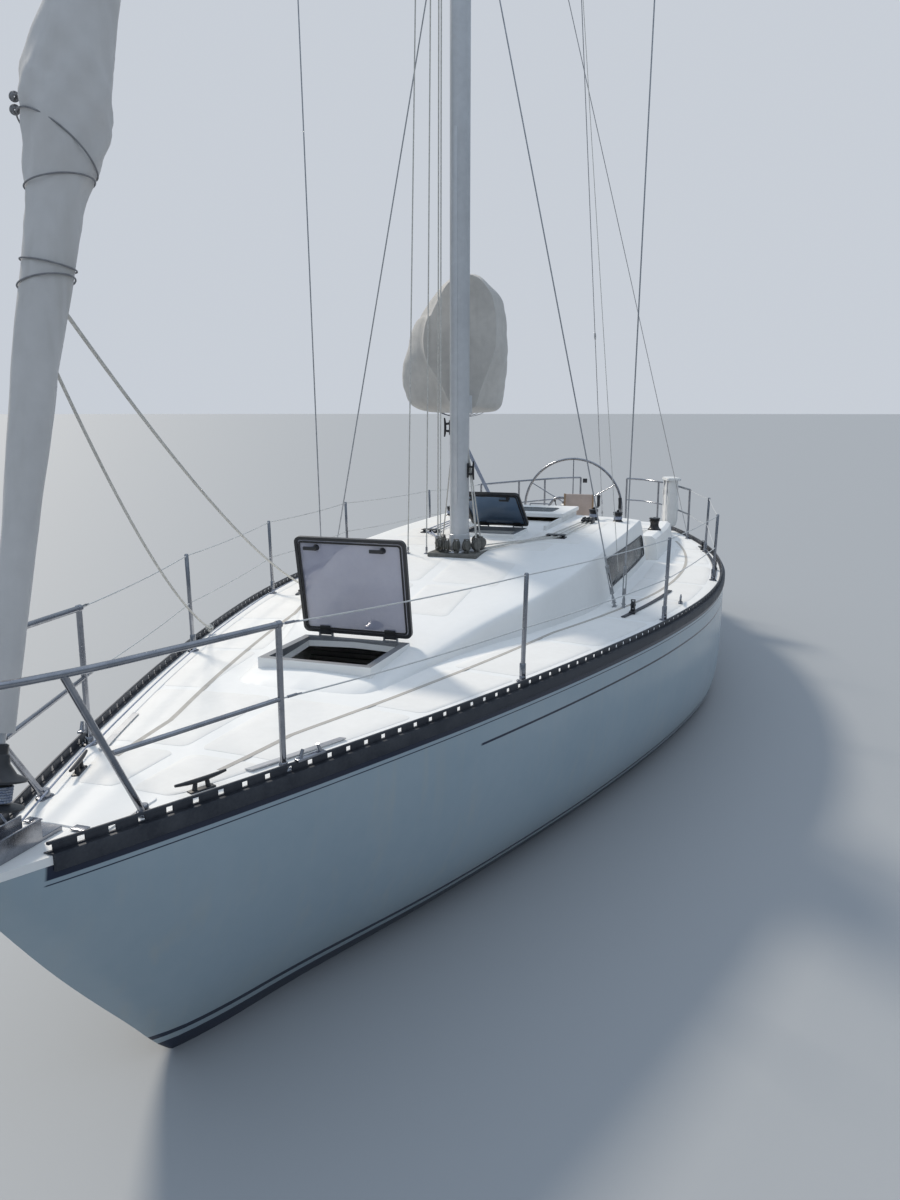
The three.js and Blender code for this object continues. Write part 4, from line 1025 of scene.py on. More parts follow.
def pulpit_rail(side):
    """Corners of the pulpit's top rail, from its after leg to the bow."""
    bow = [[x, side * y, deck_z(x, 0) + RAIL_HIGH + up]
           for x, y, up in ((5.15, 0.36, 0), (5.56, 0.25, 0.01), (5.80, 0.13, 0.02))]
    return np.array([deck_point(4.63, 0.060, RAIL_HIGH, side), *bow])


def pushpit_path(side, up):
    stern = [[-5.69, side * y, deck_z(-5.69, y) + up] for y in (0.56, 0.33)]
    return np.array([deck_point(x, gap, up, side)
                     for x, gap in ((-4.05, 0.075), (-4.90, 0.075), (-5.45, 0.090))] + stern)


front_bend = bend_path([*pulpit_rail(1), *pulpit_rail(-1)[::-1]], 90)
pulpit = [tube(front_bend, TUBE, 18)]
lines, ends = [], []
for name, side in SIDES:
    rail, low_rail = pulpit_rail(side), deck_point(4.63, 0.060, RAIL_LOW, side)
    aft_foot = deck_point(4.63, 0.060, 0, side)
    fore_foot = np.array([5.18, side * 0.215, deck_z(5.18, 0.215)])
    pulpit += [rod(aft_foot, rail[0], TUBE, 18), rod(fore_foot, rail[2], TUBE, 18),
               rod(low_rail, (5.33, side * 0.225, deck_z(5.33, 0) + 0.275), THIN_TUBE, 14),
               bolted(aft_foot), bolted(fore_foot),
               lathe([(0.0134, -0.012), (0.0158, -0.010), (0.0158, 0.010), (0.0134, 0.012)], rail[0], 18,
                     rail[1] - rail[0])]
piece("pulpit_fine", pulpit, STEEL)
for name, side in SIDES:
    top, low, feet = (pushpit_path(side, up) for up in (RAIL_HIGH, RAIL_LOW, 0))
    legs = [[rod(feet[k], top[k], TUBE, 18), bolted(feet[k])] for k in (0, 1, 2, 4)]
    piece(f"pushpit_{name}_fine", [tube(bend_path(top, 60), TUBE, 18),
                                   tube(bend_path(low, 60), THIN_TUBE, 14), *sum(legs, [])], STEEL)


def sagging(a, b, sag, count=14):
    """Wire between two points that hangs by a parabola."""
    u = np.linspace(0, 1, count)[:, None]
    return np.asarray(a) * (1 - u) + np.asarray(b) * u - np.array(Z) * 4 * sag * u * (1 - u)


def terminal(a, b, long=0.11, radius=0.0055):
    """Screwed wire end: a barrel from a towards b."""
    profile = np.array([(0, 0), (1, 0), (1, 0.1), (0.5, 0.14), (0.5, 0.3), (1.1, 0.32), (1.1, 0.75),
                        (0.6, 0.8), (0.55, 1), (0, 1)])
    return lathe(profile * (radius, long), a, 12, b - a)


WIRE_COAT = finish("coated_wire", SHINY, (0.62, 0.63, 0.63), (0.50, 0.51, 0.51), 20.0, (0.35, 0.5), bump=0.1)
for name, side in SIDES:
    for high, start, stop in ((0, pulpit_rail(side)[0], pushpit_path(side, RAIL_HIGH)[0]),
                              (1, deck_point(4.63, 0.060, RAIL_LOW, side), pushpit_path(side, RAIL_LOW)[0])):
        stops = [start, *[stanchion_tops[side, n][high] for n in (1, 2, 3, 4)], stop]
        lines += [tube(sagging(a, b, 0.012), 0.0036, 8) for a, b in zip(stops[:-1], stops[1:])]
        ends += [terminal(stops[0], stops[1]), terminal(stops[-1], stops[-2])]
piece("lifelines", lines, WIRE_COAT)
piece("lifeline_ends", ends, STEEL)
print("lifelines", len(lines), "spans")

# %% [markdown]
# ## Mast, boom and spreaders
# The spars are drawn alloy tube with an oval section and a track up the after side. The metal is dulled
# by weather, so it gets a soft, uneven gloss. The spreaders are wing sections, and each ends in a cap
# on the shroud.

# %% Mast
MAST_X, MAST_TOP, STEP_Z = 0.936, 16.6, 1.600
BOOM_Z, GOOSE_X = 2.69, 0.780
MAST_LONG, MAST_WIDE = 0.19, 0.142


def oval(z, long, wide, x=MAST_X, sides=48):
    a = around(sides)
    return np.stack([x + np.cos(a) * long / 2, np.sin(a) * wide / 2, np.full(sides, float(z))], -1)


def bar(x, half, z, radius=0.004, steps=3):
    """Rounded block that is even about the centreline."""
    return slab(x, (-half, half), z, radius, steps)


def pad(long, wide, low, high, radius=0.004):
    """Rounded block centred on 0, from its half length and half width."""
    return slab((-long, long), (-wide, wide), (low, high), radius)


def bush(inner, outer, half, at, sides=24, axis=Z):
    """Plain turned sleeve, or a pin where inner is 0."""
    return lathe([(inner, -half), (outer, -half), (outer, half), (inner, half)], at, sides, axis)


def goose_lugs(z, reach):
    plates = [bar((GOOSE_X - 0.024, MAST_X - 0.06), 0.022, (at - 0.004, at + 0.004), 0.0015)
              for at in (z - reach, z + reach)]
    return join(plates, rod((GOOSE_X, 0, z - reach - 0.006), (GOOSE_X, 0, z + reach + 0.006), 0.0069, 20),
                lathe([(0, 0), (0.011, 0), (0.011, 0.004), (0, 0.006)], (GOOSE_X, 0, z + reach + 0.005), 16))


MAST_ALLOY = finish("mast_alloy", SPAR, (0.66, 0.67, 0.685), (0.56, 0.57, 0.585), 2.6, (0.36, 0.5),
                    0.55, 0.08, streak=((0.36, 0.36, 0.35), 0.5))
heights = np.concatenate([np.linspace(STEP_Z + 0.0005, 14.0, 26), np.linspace(14.0, MAST_TOP, 10)[1:]])
taper = np.clip((MAST_TOP - heights) / 2.6, 0, 1) * 0.3 + 0.7
track_halves = [cube((MAST_X - 0.0985, MAST_X - 0.0915), (s * 0.004 - 0.0035, s * 0.004 + 0.0035),
                     (2.05, 14.0))
                for s in (-1, 1)]
piece("mast_fine", [solid([oval(z, MAST_LONG * k, MAST_WIDE * k) for z, k in zip(heights, taper)]),
                    *track_halves, bar((0.746, 1.066), 0.028, (16.56, 16.64), 0.008),
                    bar((MAST_X + 0.092, MAST_X + 0.101), 0.014, (1.95, 4.6), 0.002),
                    goose_lugs(BOOM_Z, 0.062), goose_lugs(STEP_Z + 0.19, 0.050)], MAST_ALLOY)
collar = ((1.53, 0.33, 0.27), (1.588, 0.33, 0.27), (1.597, 0.32, 0.26), (STEP_Z, 0.31, 0.25))
piece("mast_collar", solid([oval(*row) for row in collar]), ALLOY, "mast_step")
boot = ((1.598, 0.056), (1.612, 0.060), (1.64, 0.028), (1.70, 0.009), (1.715, 0.007), (1.717, 0.002))
piece("mast_boot", solid([oval(z, MAST_LONG + g, MAST_WIDE + g) for z, g in boot]), MAST_ALLOY)
print("mast", round(MAST_TOP - STEP_Z, 2), "m")

# %% Spreaders
SPREADERS = {"lower": (6.40, 1.33, 0.13, 0.0011), "upper": (11.30, 1.00, 0.10, 0.0023)}


def spreader_tip(row, side):
    height, reach, sweep, _ = SPREADERS[row]
    return np.array([MAST_X - sweep, side * reach, height + 0.06])


def wing_ring(at, long, thick, sides=24):
    """Wing section round a point: round in front and drawn to a thin edge behind."""
    fore = np.cos(around(sides))
    body = np.sin(around(sides)) * (0.5 + 0.5 * np.sqrt((fore + 1) / 2 + 0.04))
    return np.stack([at[0] + fore * long / 2, np.full(sides, at[1]), at[2] + body * thick / 2], -1)


def sided(part, side):
    """A part drawn to port, on the side that is asked for."""
    return part if side > 0 else mirrored(part)


for row, (height, reach, sweep, gap) in SPREADERS.items():
    for name, side in SIDES:
        root = np.array([MAST_X, side * 0.0716, height])
        tip = spreader_tip(row, side) - (0, side * (0.005 + gap), 0)
        wing = solid([wing_ring(root * (1 - s) + tip * s, 0.105 - 0.053 * s, 0.034 - 0.016 * s)
                      for s in np.linspace(0, 1, 10)])
        socket = slab((MAST_X - 0.062, MAST_X + 0.060), (0.060, 0.115),
                      (height - 0.021, height + 0.024), 0.008)
        piece(f"{row}_spreader_{name}_fine", [wing, sided(socket, side)], MAST_ALLOY)
        piece(f"{row}_spreader_cap_{name}", lathe([(0, -0.026), (0.010, -0.024), (0.013, 0), (0.010, 0.024),
                                                   (0, 0.026)],
                                                  tip - (0, side * 0.012, 0), 16), BLACK)
print("spreaders", 2 * len(SPREADERS))

# %% [markdown]
# ## Standing rigging
# Every shroud and stay is a wire with a turnbuckle at its foot. The turnbuckle is what gives the eye
# the scale: a fork on the chainplate, a screw, an open body and a second screw.

# %% Wires and turnbuckles
def turnbuckle(foot, towards, size=0.012):
    """Turnbuckle from a foot along a wire: fork, screw, two cheeks with end rings, and a screw."""
    way = unit(towards - foot)
    side = unit(np.cross(way, X)) * size

    def screw(*profile):
        return lathe([(r * size, d) for r, d in profile], foot, 16, way)

    return join(screw((0, 0), (0.9, 0), (0.9, 0.07), (0.5, 0.085), (0.45, 0.15), (0, 0.15)),
                [rod(foot + way * 0.112 + side * k, foot + way * 0.308 + side * k, size * 0.34, 10)
                 for k in (-0.85, 0.85)],
                [lathe([(0, 0), (size * 1.2, 0), (size * 1.3, 0.006), (size * 1.2, 0.018), (0, 0.018)],
                       foot + way * d, 20, way) for d in (0.098, 0.300)],
                screw((0, 0.26), (0.45, 0.26), (0.45, 0.34), (0.72, 0.35), (0.72, 0.395),
                      (0.005 / size, 0.41), (0, 0.41)),
                rod(foot + way * 0.03 - side * 1.5, foot + way * 0.03 + side * 1.5, size * 0.35))


def stay(foot, head, low, share=0.07, *others, over=()):
    """A wire from a little above its foot to its head, a turnbuckle, and a strap through the deck with
    a cover plate."""
    first = over[0] if over else head
    wire = tube([foot + (first - foot) * share, *over, head], 0.005, 10)
    strap = shift(pad(0.021, 0.003, -0.05, 0.05, 0.0015), foot)
    cover = shift(pad(0.045, 0.016, -0.004, 0.0035, 0.0015), (foot[0], foot[1], low))
    return [wire, turnbuckle(foot, first), strap, cover, *others]


WIRE = finish("rigging_wire", SHINY, (0.50, 0.51, 0.53), (0.36, 0.37, 0.39), 30.0, (0.3, 0.45), 0.9, 0.6, 300)
for name, side in SIDES:
    low = deck_z(GOOSE_X, 1.255)
    tips = [spreader_tip(row, side) for row in SPREADERS]
    piece(f"cap_shroud_{name}_fine", stay(np.array([GOOSE_X, side * 1.255, low - 0.005]),
                                          np.array([MAST_X, side * 0.0573, 16.34]), low, over=tips), WIRE)
    tang = slab((MAST_X - 0.02, MAST_X + 0.02), (0.0705, 0.079), (6.27, 6.38), 0.002)
    piece(f"lower_shroud_{name}_fine", stay(np.array([GOOSE_X + 0.01, side * 1.19, 1.19]),
                                            np.array([MAST_X, side * 0.0763, 6.33]), deck_z(0.79, 1.19), 0.07,
                                            sided(tang, side)), WIRE)
low = deck_z(-5.7, 0)
foot, head = np.array([-5.7, 0, low - 0.005]), np.array([MAST_X - 0.195, 0, MAST_TOP])
insulator = lathe([(0, -0.05), (0.009, -0.045), (0.014, 0), (0.009, 0.045), (0, 0.05)],
                  foot + (head - foot) * 0.16, 16, head - foot)
piece("backstay_fine", stay(foot, head, low, 0.018, insulator), WIRE)
print("stays", 5)

# %% [markdown]
# ## The furled headsail
# The genoa is rolled on a turning foil. A rolled sail is not a smooth pole: its edge winds up it as a
# spiral step, the cloth ripples across the turns, and it bulges where the clew comes to lie. The
# radius is therefore a table along the stay, times a spiral step, plus ripples.

# %% Cloth material
def cloth_finish(name, slot, tone, other, threads, patch, rough=(0.82, 0.95), strength=0.35, stain=None):
    """Cloth: the drifting tone is shaded by a weave, whose height goes to the bump with a grain."""
    material = finish(name, slot, tone, other, patch, rough, 0, 0.25, 240, 0.001, stain, sheen=0.25)
    tree, shader = shader_of(material)
    woven = node(tree, "Group", {"Threads per metre": threads}, node_tree=WEAVE).node.outputs
    normal = {"Strength": strength, "Distance": 0.0006, "Height": woven["Height"],
              "Normal": feeding(shader, "Normal")}
    feed(tree, shader, {"Base Color": mixed(tree, 1.0, feeding(shader, "Base Color"), woven["Shade"],
                                            "MULTIPLY"),
                        "Normal": node(tree, "Bump", normal)})
    return material


def set_uv(made, values):
    """Stores a pair for each point, in metres over the cloth, as the piece's UV map."""
    corner = read(made.data.loops, "vertex_index")
    made.data.uv_layers.new(name="cloth").data.foreach_set("uv", values.astype(np.float32)[corner].ravel())


GENOA_CLOTH = cloth_finish("genoa_cloth", CLOTH, (0.67, 0.65, 0.635), (0.59, 0.575, 0.56), 420, 1.7,
                           stain=((0.40, 0.38, 0.33), 0.6))
MAIN_CLOTH = cloth_finish("mainsail_cloth", CLOTH, (0.64, 0.615, 0.575), (0.50, 0.48, 0.45), 420, 2.2,
                          stain=((0.34, 0.32, 0.28), 0.5))

# %% Forestay frame and rolled sail
TACK, HEAD = np.array([5.660, 0, 1.330]), np.array([1.0714, 0, 16.590])
STAY, STAY_SIDE = unit(HEAD - TACK), np.array(Y, float)
STAY_FRONT = np.cross(STAY_SIDE, STAY)
ROLL = np.array([
    # distance up the stay, radius, how far the roll's middle lies to port of the foil
    [0.33, 0.040, 0.000], [0.70, 0.050, -0.022], [1.24, 0.064, -0.044], [1.57, 0.075, -0.056],
    [1.91, 0.086, -0.056], [2.11, 0.096, -0.062], [2.22, 0.118, -0.060], [2.32, 0.136, -0.068],
    [2.42, 0.147, -0.074], [2.59, 0.138, -0.072], [2.78, 0.117, -0.056], [4.50, 0.110, -0.020],
    [8.50, 0.086, 0.000], [12.5, 0.052, 0.000], [14.3, 0.026, 0.000],
])


def about_stay(run, angle, radius):
    """Points round the roll's own middle at distances up the stay."""
    ring = np.cos(angle)[..., None] * STAY_FRONT + np.sin(angle)[..., None] * STAY_SIDE
    leaned = through(ROLL, run, 2)[..., None] * STAY_SIDE
    return TACK + run[..., None] * STAY + radius[..., None] * ring + leaned


def genoa_part(rows=520, sides=72):
    """Radius from the table times a spiral step of the rolled edge, plus ripples across the turns and
    a few slack folds near the clew."""
    run, angle = np.broadcast_arrays(np.linspace(0.335, 14.28, rows)[:, None], around(sides)[None])
    base = through(ROLL, run, 1)
    turn = (angle / (2 * np.pi) + run / 1.15 + 0.35) % 1.0
    step = 0.955 + 0.055 * turn ** 0.5 * (1 - smooth((turn - 0.965) / 0.035))
    ripple = (0.0020 * np.sin(2 * angle + run * 3.1) * np.sin(run * 9 + 3 * np.sin(run * 0.7))
              + 0.0010 * np.sin(5 * angle - run * 17) + 0.0006 * np.sin(9 * angle + run * 31))
    slack = 0.007 * np.sin(3 * angle + run * 14) + 0.004 * np.sin(7 * angle - run * 22)
    slack += 0.0028 * np.sin(6 * angle + run * 47 + 2 * np.sin(run * 13))
    slack *= np.exp(-((run - 2.32) / 0.32) ** 2)
    fade = smooth((run - 0.33) / 0.15) * smooth((14.3 - run) / 0.3)
    radius = base * step + (ripple + slack) * fade * np.clip(base / 0.09, 0.3, 1)
    return solid(about_stay(run, angle, radius)), np.stack([run, angle * 0.09], -1).reshape(-1, 2)


genoa_mesh, genoa_uv = genoa_part()
genoa = piece("genoa_roll", genoa_mesh, GENOA_CLOTH, "furled_genoa", sharp=math.radians(50))
set_uv(genoa, genoa_uv)
print("genoa", len(genoa.data.polygons), "faces")

# %% Foil, drum and links
def stay_point(run, side=0.0, front=0.0):
    return TACK + run * STAY + side * STAY_SIDE + front * STAY_FRONT


piece("forestay_fine", [rod(stay_point(0.25), stay_point(14.9), 0.0148, 20),
                        rod(stay_point(14.85), HEAD, 0.005, 10),
                        rod(stay_point(0.004), stay_point(0.26), 0.009, 14),
                        shift(pad(0.010, 0.012, -0.014, 0.03, 0.003), TACK)], ALLOY)
swivel = [(0, 0), (0.022, 0), (0.026, 0.012), (0.026, 0.05), (0.030, 0.056), (0.030, 0.095), (0.024, 0.105),
          (0.0155, 0.11)]
drum = [(0.012, 0.096), (0.088, 0.096), (0.094, 0.099), (0.094, 0.104), (0.080, 0.108), (0.048, 0.114),
        (0.045, 0.122), (0.045, 0.170), (0.048, 0.176), (0.080, 0.182), (0.094, 0.186), (0.094, 0.191),
        (0.088, 0.195), (0.060, 0.205), (0.036, 0.238), (0.033, 0.262), (0.027, 0.268), (0.026, 0.296),
        (0.020, 0.299), (0.012, 0.299)]
piece("drum_fine", [lathe(drum, TACK, 48, STAY), lathe(swivel, stay_point(14.34), 28, STAY)], BLACK,
      "furling_drum")
u = np.linspace(0, 1, 170)
screw_line = about_stay(0.120 + 0.052 * u, 12 * np.pi * u, np.full(170, 0.051))
piece("furling_line_on_drum", tube(screw_line, 0.0042, 8), BLUE_ROPE, slot=FITTING)
print("drum at", np.round(stay_point(0.1), 2))

# %% [markdown]
# ## The mainsail on its boom
# The main lies on the boom, dropped in loose flakes between its ties. Seen from the bow it is an egg
# with folds running down its front. The form is a ring of a few corners carried aft, as the sail lies,
# then pushed in and out by long flakes, by the pull of the ties and by creases at its front end.

# %% Boom frame
BOOM_TURN = math.radians(20)
BUNDLE_LOW = BOOM_Z - 0.059


def on_boom(run, across, z):
    """From distance aft of the gooseneck and distance to port, with the boom swung to starboard."""
    run, across = np.asarray(run, float), np.asarray(across, float)
    return np.stack([GOOSE_X - run * math.cos(BOOM_TURN) - across * math.sin(BOOM_TURN),
                     across * math.cos(BOOM_TURN) - run * math.sin(BOOM_TURN),
                     np.broadcast_to(z, run.shape).astype(float)], -1)


def boom_piece(name, parts, finish, stands_for=None):
    """Piece from parts drawn along X with the gooseneck at 0, put on the swung boom."""
    points, faces = join(parts)
    return piece(name, (on_boom(-points[:, 0], points[:, 1], points[:, 2]), faces), finish,
                 stands_for, "boom")


def power(wave, exponent):
    """A wave raised to a power, with its sign kept."""
    return np.sign(wave) * np.abs(wave) ** exponent


# The boom's section is an oval, flatter underneath.
a = around(40)
spar_y, spar_z = 0.045 * power(np.cos(a), 0.75), BOOM_Z + 0.065 * power(np.sin(a), 0.8)
boom_piece("boom_fine", [
    solid([np.stack([np.full(40, x), spar_y, spar_z], -1) for x in np.linspace(-0.05, -4.45, 12)]),
    bar((-0.075, -0.045), 0.049, (BOOM_Z - 0.069, BOOM_Z + 0.069), 0.006),
    bar((-4.455, -4.415), 0.049, (BOOM_Z - 0.069, BOOM_Z + 0.069), 0.006),
    bar((-0.060, 0.0), 0.016, (BOOM_Z - 0.045, BOOM_Z + 0.045), 0.003),
    bush(0.0079, 0.020, 0.052, (0, 0, BOOM_Z)),
    bar((-1.36, -1.29), 0.008, (BOOM_Z - 0.107, BOOM_Z - 0.060), 0.003),
], MAST_ALLOY)

# %% Stowed mainsail
BUNDLE = np.array([
    # distance aft of the gooseneck, half width, top
    [0.110, 0.385, 3.680], [0.260, 0.400, 3.690], [0.700, 0.375, 3.540], [1.500, 0.320, 3.370],
    [2.600, 0.255, 3.190], [3.600, 0.190, 3.050], [4.150, 0.120, 2.960],
])
TIES = np.array([0.90, 1.45, 2.02, 2.60, 3.16, 3.74])
RING = np.array([(0.16, 0), (0.55, 0.05), (0.88, 0.2), (1, 0.38), (0.93, 0.58), (0.7, 0.78), (0.38, 0.93),
                 (0.12, 1)])
FRONT_PORT = np.array([(0.40, 0), (0.70, 0.04), (0.77, 0.16), (0.78, 0.36), (0.77, 0.58), (0.73, 0.76),
                       (0.60, 0.89), (0.16, 1)])
FRONT_STBD = np.array([(0.55, 0), (1.02, 0.05), (1.22, 0.17), (1.30, 0.34), (1.15, 0.54), (0.93, 0.72),
                       (0.56, 0.90), (0.22, 1)])


def wrapped(port, starboard):
    """Ring of corners, port side up and starboard side down, with its ends repeated for a closed curve."""
    corners = np.concatenate([port, (starboard * [-1, 1])[::-1]])
    return np.column_stack([np.arange(-3, 20), np.concatenate([corners[-3:], corners, corners[:4]])])


def bundle_part(rows=300, sides=192):
    """Ring of the bundle at each distance aft, with flakes, tie marks and front creases as moves along
    the ring's own outward direction."""
    face = np.linspace(0, np.pi / 2, 22)
    run = np.concatenate([0.112 - 0.008 * np.cos(face), np.linspace(0.114, 4.14, rows)])[:, None]
    inner = np.concatenate([np.sin(face), np.ones(rows)])[:, None]
    closing = inner * np.maximum(smooth((4.15 - run) / 0.10) ** 0.5, 0.03)
    grow, even = smooth((run - 0.112) / 0.34), smooth((run - 0.6) / 1.3)
    half, tall = through(BUNDLE, run, 1), through(BUNDLE, run, 2) - BUNDLE_LOW
    at = np.linspace(0, 16, sides, endpoint=False)[None]
    front, middle = wrapped(FRONT_PORT, FRONT_STBD), wrapped(RING, RING)
    f, g = (through(front, at, k) * (1 - even) + through(middle, at, k) * even for k in (1, 2))
    narrow = 0.72 - 0.42 * smooth((0.55 - g) / 0.55)
    span = np.abs(run - TIES).min(1)[:, None]
    tied, loose = np.exp(-(span / 0.045) ** 2), smooth(span / 0.28)
    flakes = (0.012 * np.sin(2 * np.pi * (5.5 * g + 0.35 * np.sin(1.7 * run) + 0.22 * np.sign(f)
                                          * np.sin(2.9 * run)))
              + 0.005 * np.sin(2 * np.pi * (11 * g - 0.6 * run + 0.3 * np.sin(5 * run))))
    crease, angle = np.exp(-((run - 0.10) / 0.42) ** 2), np.arctan2(g - 0.46, f)
    ledge = smooth((0.715 - g) / 0.03) * smooth((g - 0.45) / 0.2) * smooth(-f / 0.3)
    folds = (crease * (0.005 * np.sin(5 * angle + 1.3) + 0.003 * np.sin(9 * angle - 8 * run))
             + 0.024 * np.exp(-((run - 0.12) / 0.5) ** 2) * ledge)
    wide = 1 - 0.20 * tied * (0.45 + 0.55 * even) * smooth((g - 0.05) / 0.2) + 0.035 * loose
    y = (f * half + np.sign(f) * 0.04 * (1 - np.abs(f))) * wide
    z = tall * (g - 0.06 * tied * smooth((g - 0.5) / 0.5))
    ny, nz = f * half, (g - 0.45) * tall
    move = flakes * loose * (1 - 0.9 * crease) * (0.35 + 0.65 * even) + folds
    move = move * smooth((g - 0.02) / 0.16) / (np.sqrt(ny ** 2 + nz ** 2) + 1e-6)
    y = (y + ny * move) * (narrow + (1 - narrow) * grow) * closing
    z = 0.45 * tall + (z + nz * move - 0.45 * tall) * (0.93 + 0.07 * grow) * closing
    run = np.broadcast_to(run, y.shape)
    points = on_boom(run, y + 0.03 * np.sin(2.1 * run) * smooth(z / 0.5), BUNDLE_LOW + z)
    return solid(points), np.stack([run, np.broadcast_to(at, y.shape) / 16 * 2.6], -1).reshape(-1, 2)


bundle_mesh, bundle_uv = bundle_part()
bundle = piece("mainsail_flaked", bundle_mesh, MAIN_CLOTH, "mainsail_bundle", "boom", sharp=math.radians(70))
set_uv(bundle, bundle_uv)
print("bundle", len(bundle.data.polygons), "faces")

# %% [markdown]
# ## Hatches
# Each hatch has an alloy frame with round corners and a sheet of tinted acrylic in a rim. The lids stand
# open as their hinges hold them. A lid is drawn closed about its hinge line, then turned up, so that
# the hinge stays where the frame has its pins.

# %% Hatch lids
def outline_ring(z, *size, at=(0, 0)):
    """A round outline at a height."""
    outline = round_outline(*size) + at
    return np.column_stack([outline, np.full(len(outline), z)])


def rim_part(long, wide, radius, width, low, high, edge=0.003):
    """Rounded frame: outlines drawn in step by step, up the outside and down the inside."""
    steps = [(0, low), (0, high - edge), (edge, high), (width - edge * 0.5, high), (width, high - edge * 0.5),
             (width, low)]
    return grid([outline_ring(z, long - 2 * i, wide - 2 * i, radius - i * 0.6) for i, z in steps], ring=True,
                closed=True)


HINGE = join(rod((0, -0.035, 0), (0, 0.035, 0), 0.011, 18),
             bar((0.002, 0.048), 0.033, (-0.009, 0.0165), 0.003))
DOG = join(lathe([(0, -0.026), (0.012, -0.026), (0.014, -0.010), (0.019, 0), (0, 0)], sides=20),
           slab((-0.012, 0.010), (-0.075, 0.012), (-0.027, -0.017)))


def lid(name, hinge, z, long, wide, opened, tint):
    """Lid in its own closed frame, with the hinge line at 0, turned open and put on the boat."""
    rim = [shift(part, (at, s * wide * 0.3, up))
           for part, at, up in ((HINGE, 0, 0), (DOG, long - 0.055, -0.007))
           for s in (-1, 1)]
    centre = (0.006 + long / 2, 0, 0)
    rim.append(shift(rim_part(long, wide, 0.035, 0.018, -0.011, 0.015), centre))
    sheet = plate(round_outline(long - 0.022, wide - 0.022, 0.030), -0.002, 0.011)
    seal = rim_part(long - 0.05, wide - 0.05, 0.02, 0.009, -0.014, -0.007, 0.001)
    for label, part, coat, stands_for in (("rim", join(rim), BLACK, f"{name}_lid"),
                                          ("pane", shift(sheet, centre), tint, None),
                                          ("seal", shift(seal, centre), RUBBER, None)):
        piece(f"{name}_lid_{label}", shift(spin(part, Y, -opened), (hinge - 0.006, 0, z + 0.016)), coat,
              stands_for, f"{name}_lid")


lid("fore_hatch", 2.86, 1.330, 0.59, 0.69, 80, SMOKE)
lid("mid_hatch", -0.25, 1.632, 0.50, 0.52, 38, BLUE_ACRYLIC)
FRAME_GREY = finish("hatch_frame_alloy", FITTING, (0.30, 0.31, 0.33), (0.22, 0.23, 0.245), 8.0, (0.4, 0.55),
                    0.5, 0.1)


def moulded_outside(made):
    """The frame stands in a moulded upstand: its outer side faces get the deck's own finish."""
    normal, middle = (read(made.data.polygons, key, 3, np.float32) for key in ("normal", "center"))
    away = middle - (middle.max(0) + middle.min(0)) / 2
    outside = (np.abs(normal[:, 2]) < 0.5) & ((normal * away).sum(1) > 0) & (np.abs(away[:, :2]).max(1) > 0.2)
    second_finish(made, GLOSS_DECK, np.flatnonzero(outside))


for hatch in ("fore_hatch_frame", "mid_hatch_frame"):
    moulded_outside(softened(hatch, FRAME_GREY, 0.003, 2))

# %% Companionway
SLIDE = "companionway_hatch"
softened(SLIDE, GLOSS_DECK, 0.009, 4, SLIDE)
grip = [(-1.735, y, z) for y, z in ((-0.10, 1.678), (-0.10, 1.700), (0.10, 1.700), (0.10, 1.678))]
piece("companionway_grip", tube(rounded_path(grip, 0.014), 0.006), STEEL, body=SLIDE)
light_rim = shift(rim_part(0.36, 0.52, 0.05, 0.012, 1.6795, 1.6835, 0.001), (-1.36, 0, 0))
piece("companionway_light_rim", light_rim, BLACK, body=SLIDE)
piece("companionway_light", plate(round_outline(0.345, 0.505, 0.045) + (-1.36, 0), 1.679, 1.6815), PANE,
      body=SLIDE)
TEAK = finish("weathered_teak", "sole_wood", (0.30, 0.19, 0.105), (0.40, 0.29, 0.19), 14.0, (0.6, 0.78), 0,
              0.5, 160, 0.0012, ((0.16, 0.10, 0.06), 0.8))
piece("washboards_fine", [bar((-1.775, -1.7503), 0.335, z, 0.003)
                          for z in ((1.205, 1.345), (1.348, 1.488), (1.491, 1.634))], TEAK, slot=CLEAR)
piece("washboard_channels", [slab((-1.79, -1.742), (y - 0.012, y + 0.008), (1.20, 1.60), 0.003)
                             for y in (-0.352, 0.352)], ALLOY)
piece("hatch_slides", [slab((-1.75, -0.38), (y - 0.014, y + 0.014), (1.56, 1.6396)) for y in (-0.372, 0.372)],
      WHITE_MOULD)

# %% [markdown]
# ## Cockpit
# The cockpit is one moulding with long seats and a deep well. Its plain form is right, so a merged copy
# of it only gets its edges rounded. Lids, slats and the small things that make it usable are added.

# %% Cockpit moulding and seats
softened("cockpit", GLOSS_DECK, 0.014, 4)
SOLE_Z = 0.6205
LOCKERS = ((-2.86, -1.92, 0.40, 0.95), (-3.96, -3.10, 0.72, 0.915))
lids = [shift(plate(round_outline(x1 - x0 - inset, far - near - inset, radius), *z),
              ((x0 + x1) / 2, side * (near + far) / 2, 0))
        for name, side in SIDES for x0, x1, near, far in LOCKERS
        for inset, radius, z in ((0, 0.04, (1.019, 1.0235)), (0.05, 0.03, (1.023, 1.0255)))]
piece("seat_lids", lids, GRIP_DECK)
slats = [slab((x, x + long), (y - 0.022, y + 0.022), (SOLE_Z, 0.640), 0.003, 2)
         for x, long, reach in ((-2.96, 1.06, 0.30), (-4.20, 1.16, 0.60))
         for y in np.arange(-reach, reach + 0.01, 0.0545)]
piece("sole_slats", slats, TEAK)
piece("slat_bearers", [bar((x - 0.03, x + 0.03), w, (SOLE_Z, 0.630), 0.003, 2)
                       for x, w in ((-2.86, 0.33), (-2.02, 0.33), (-4.1, 0.63), (-3.15, 0.63))], TEAK)
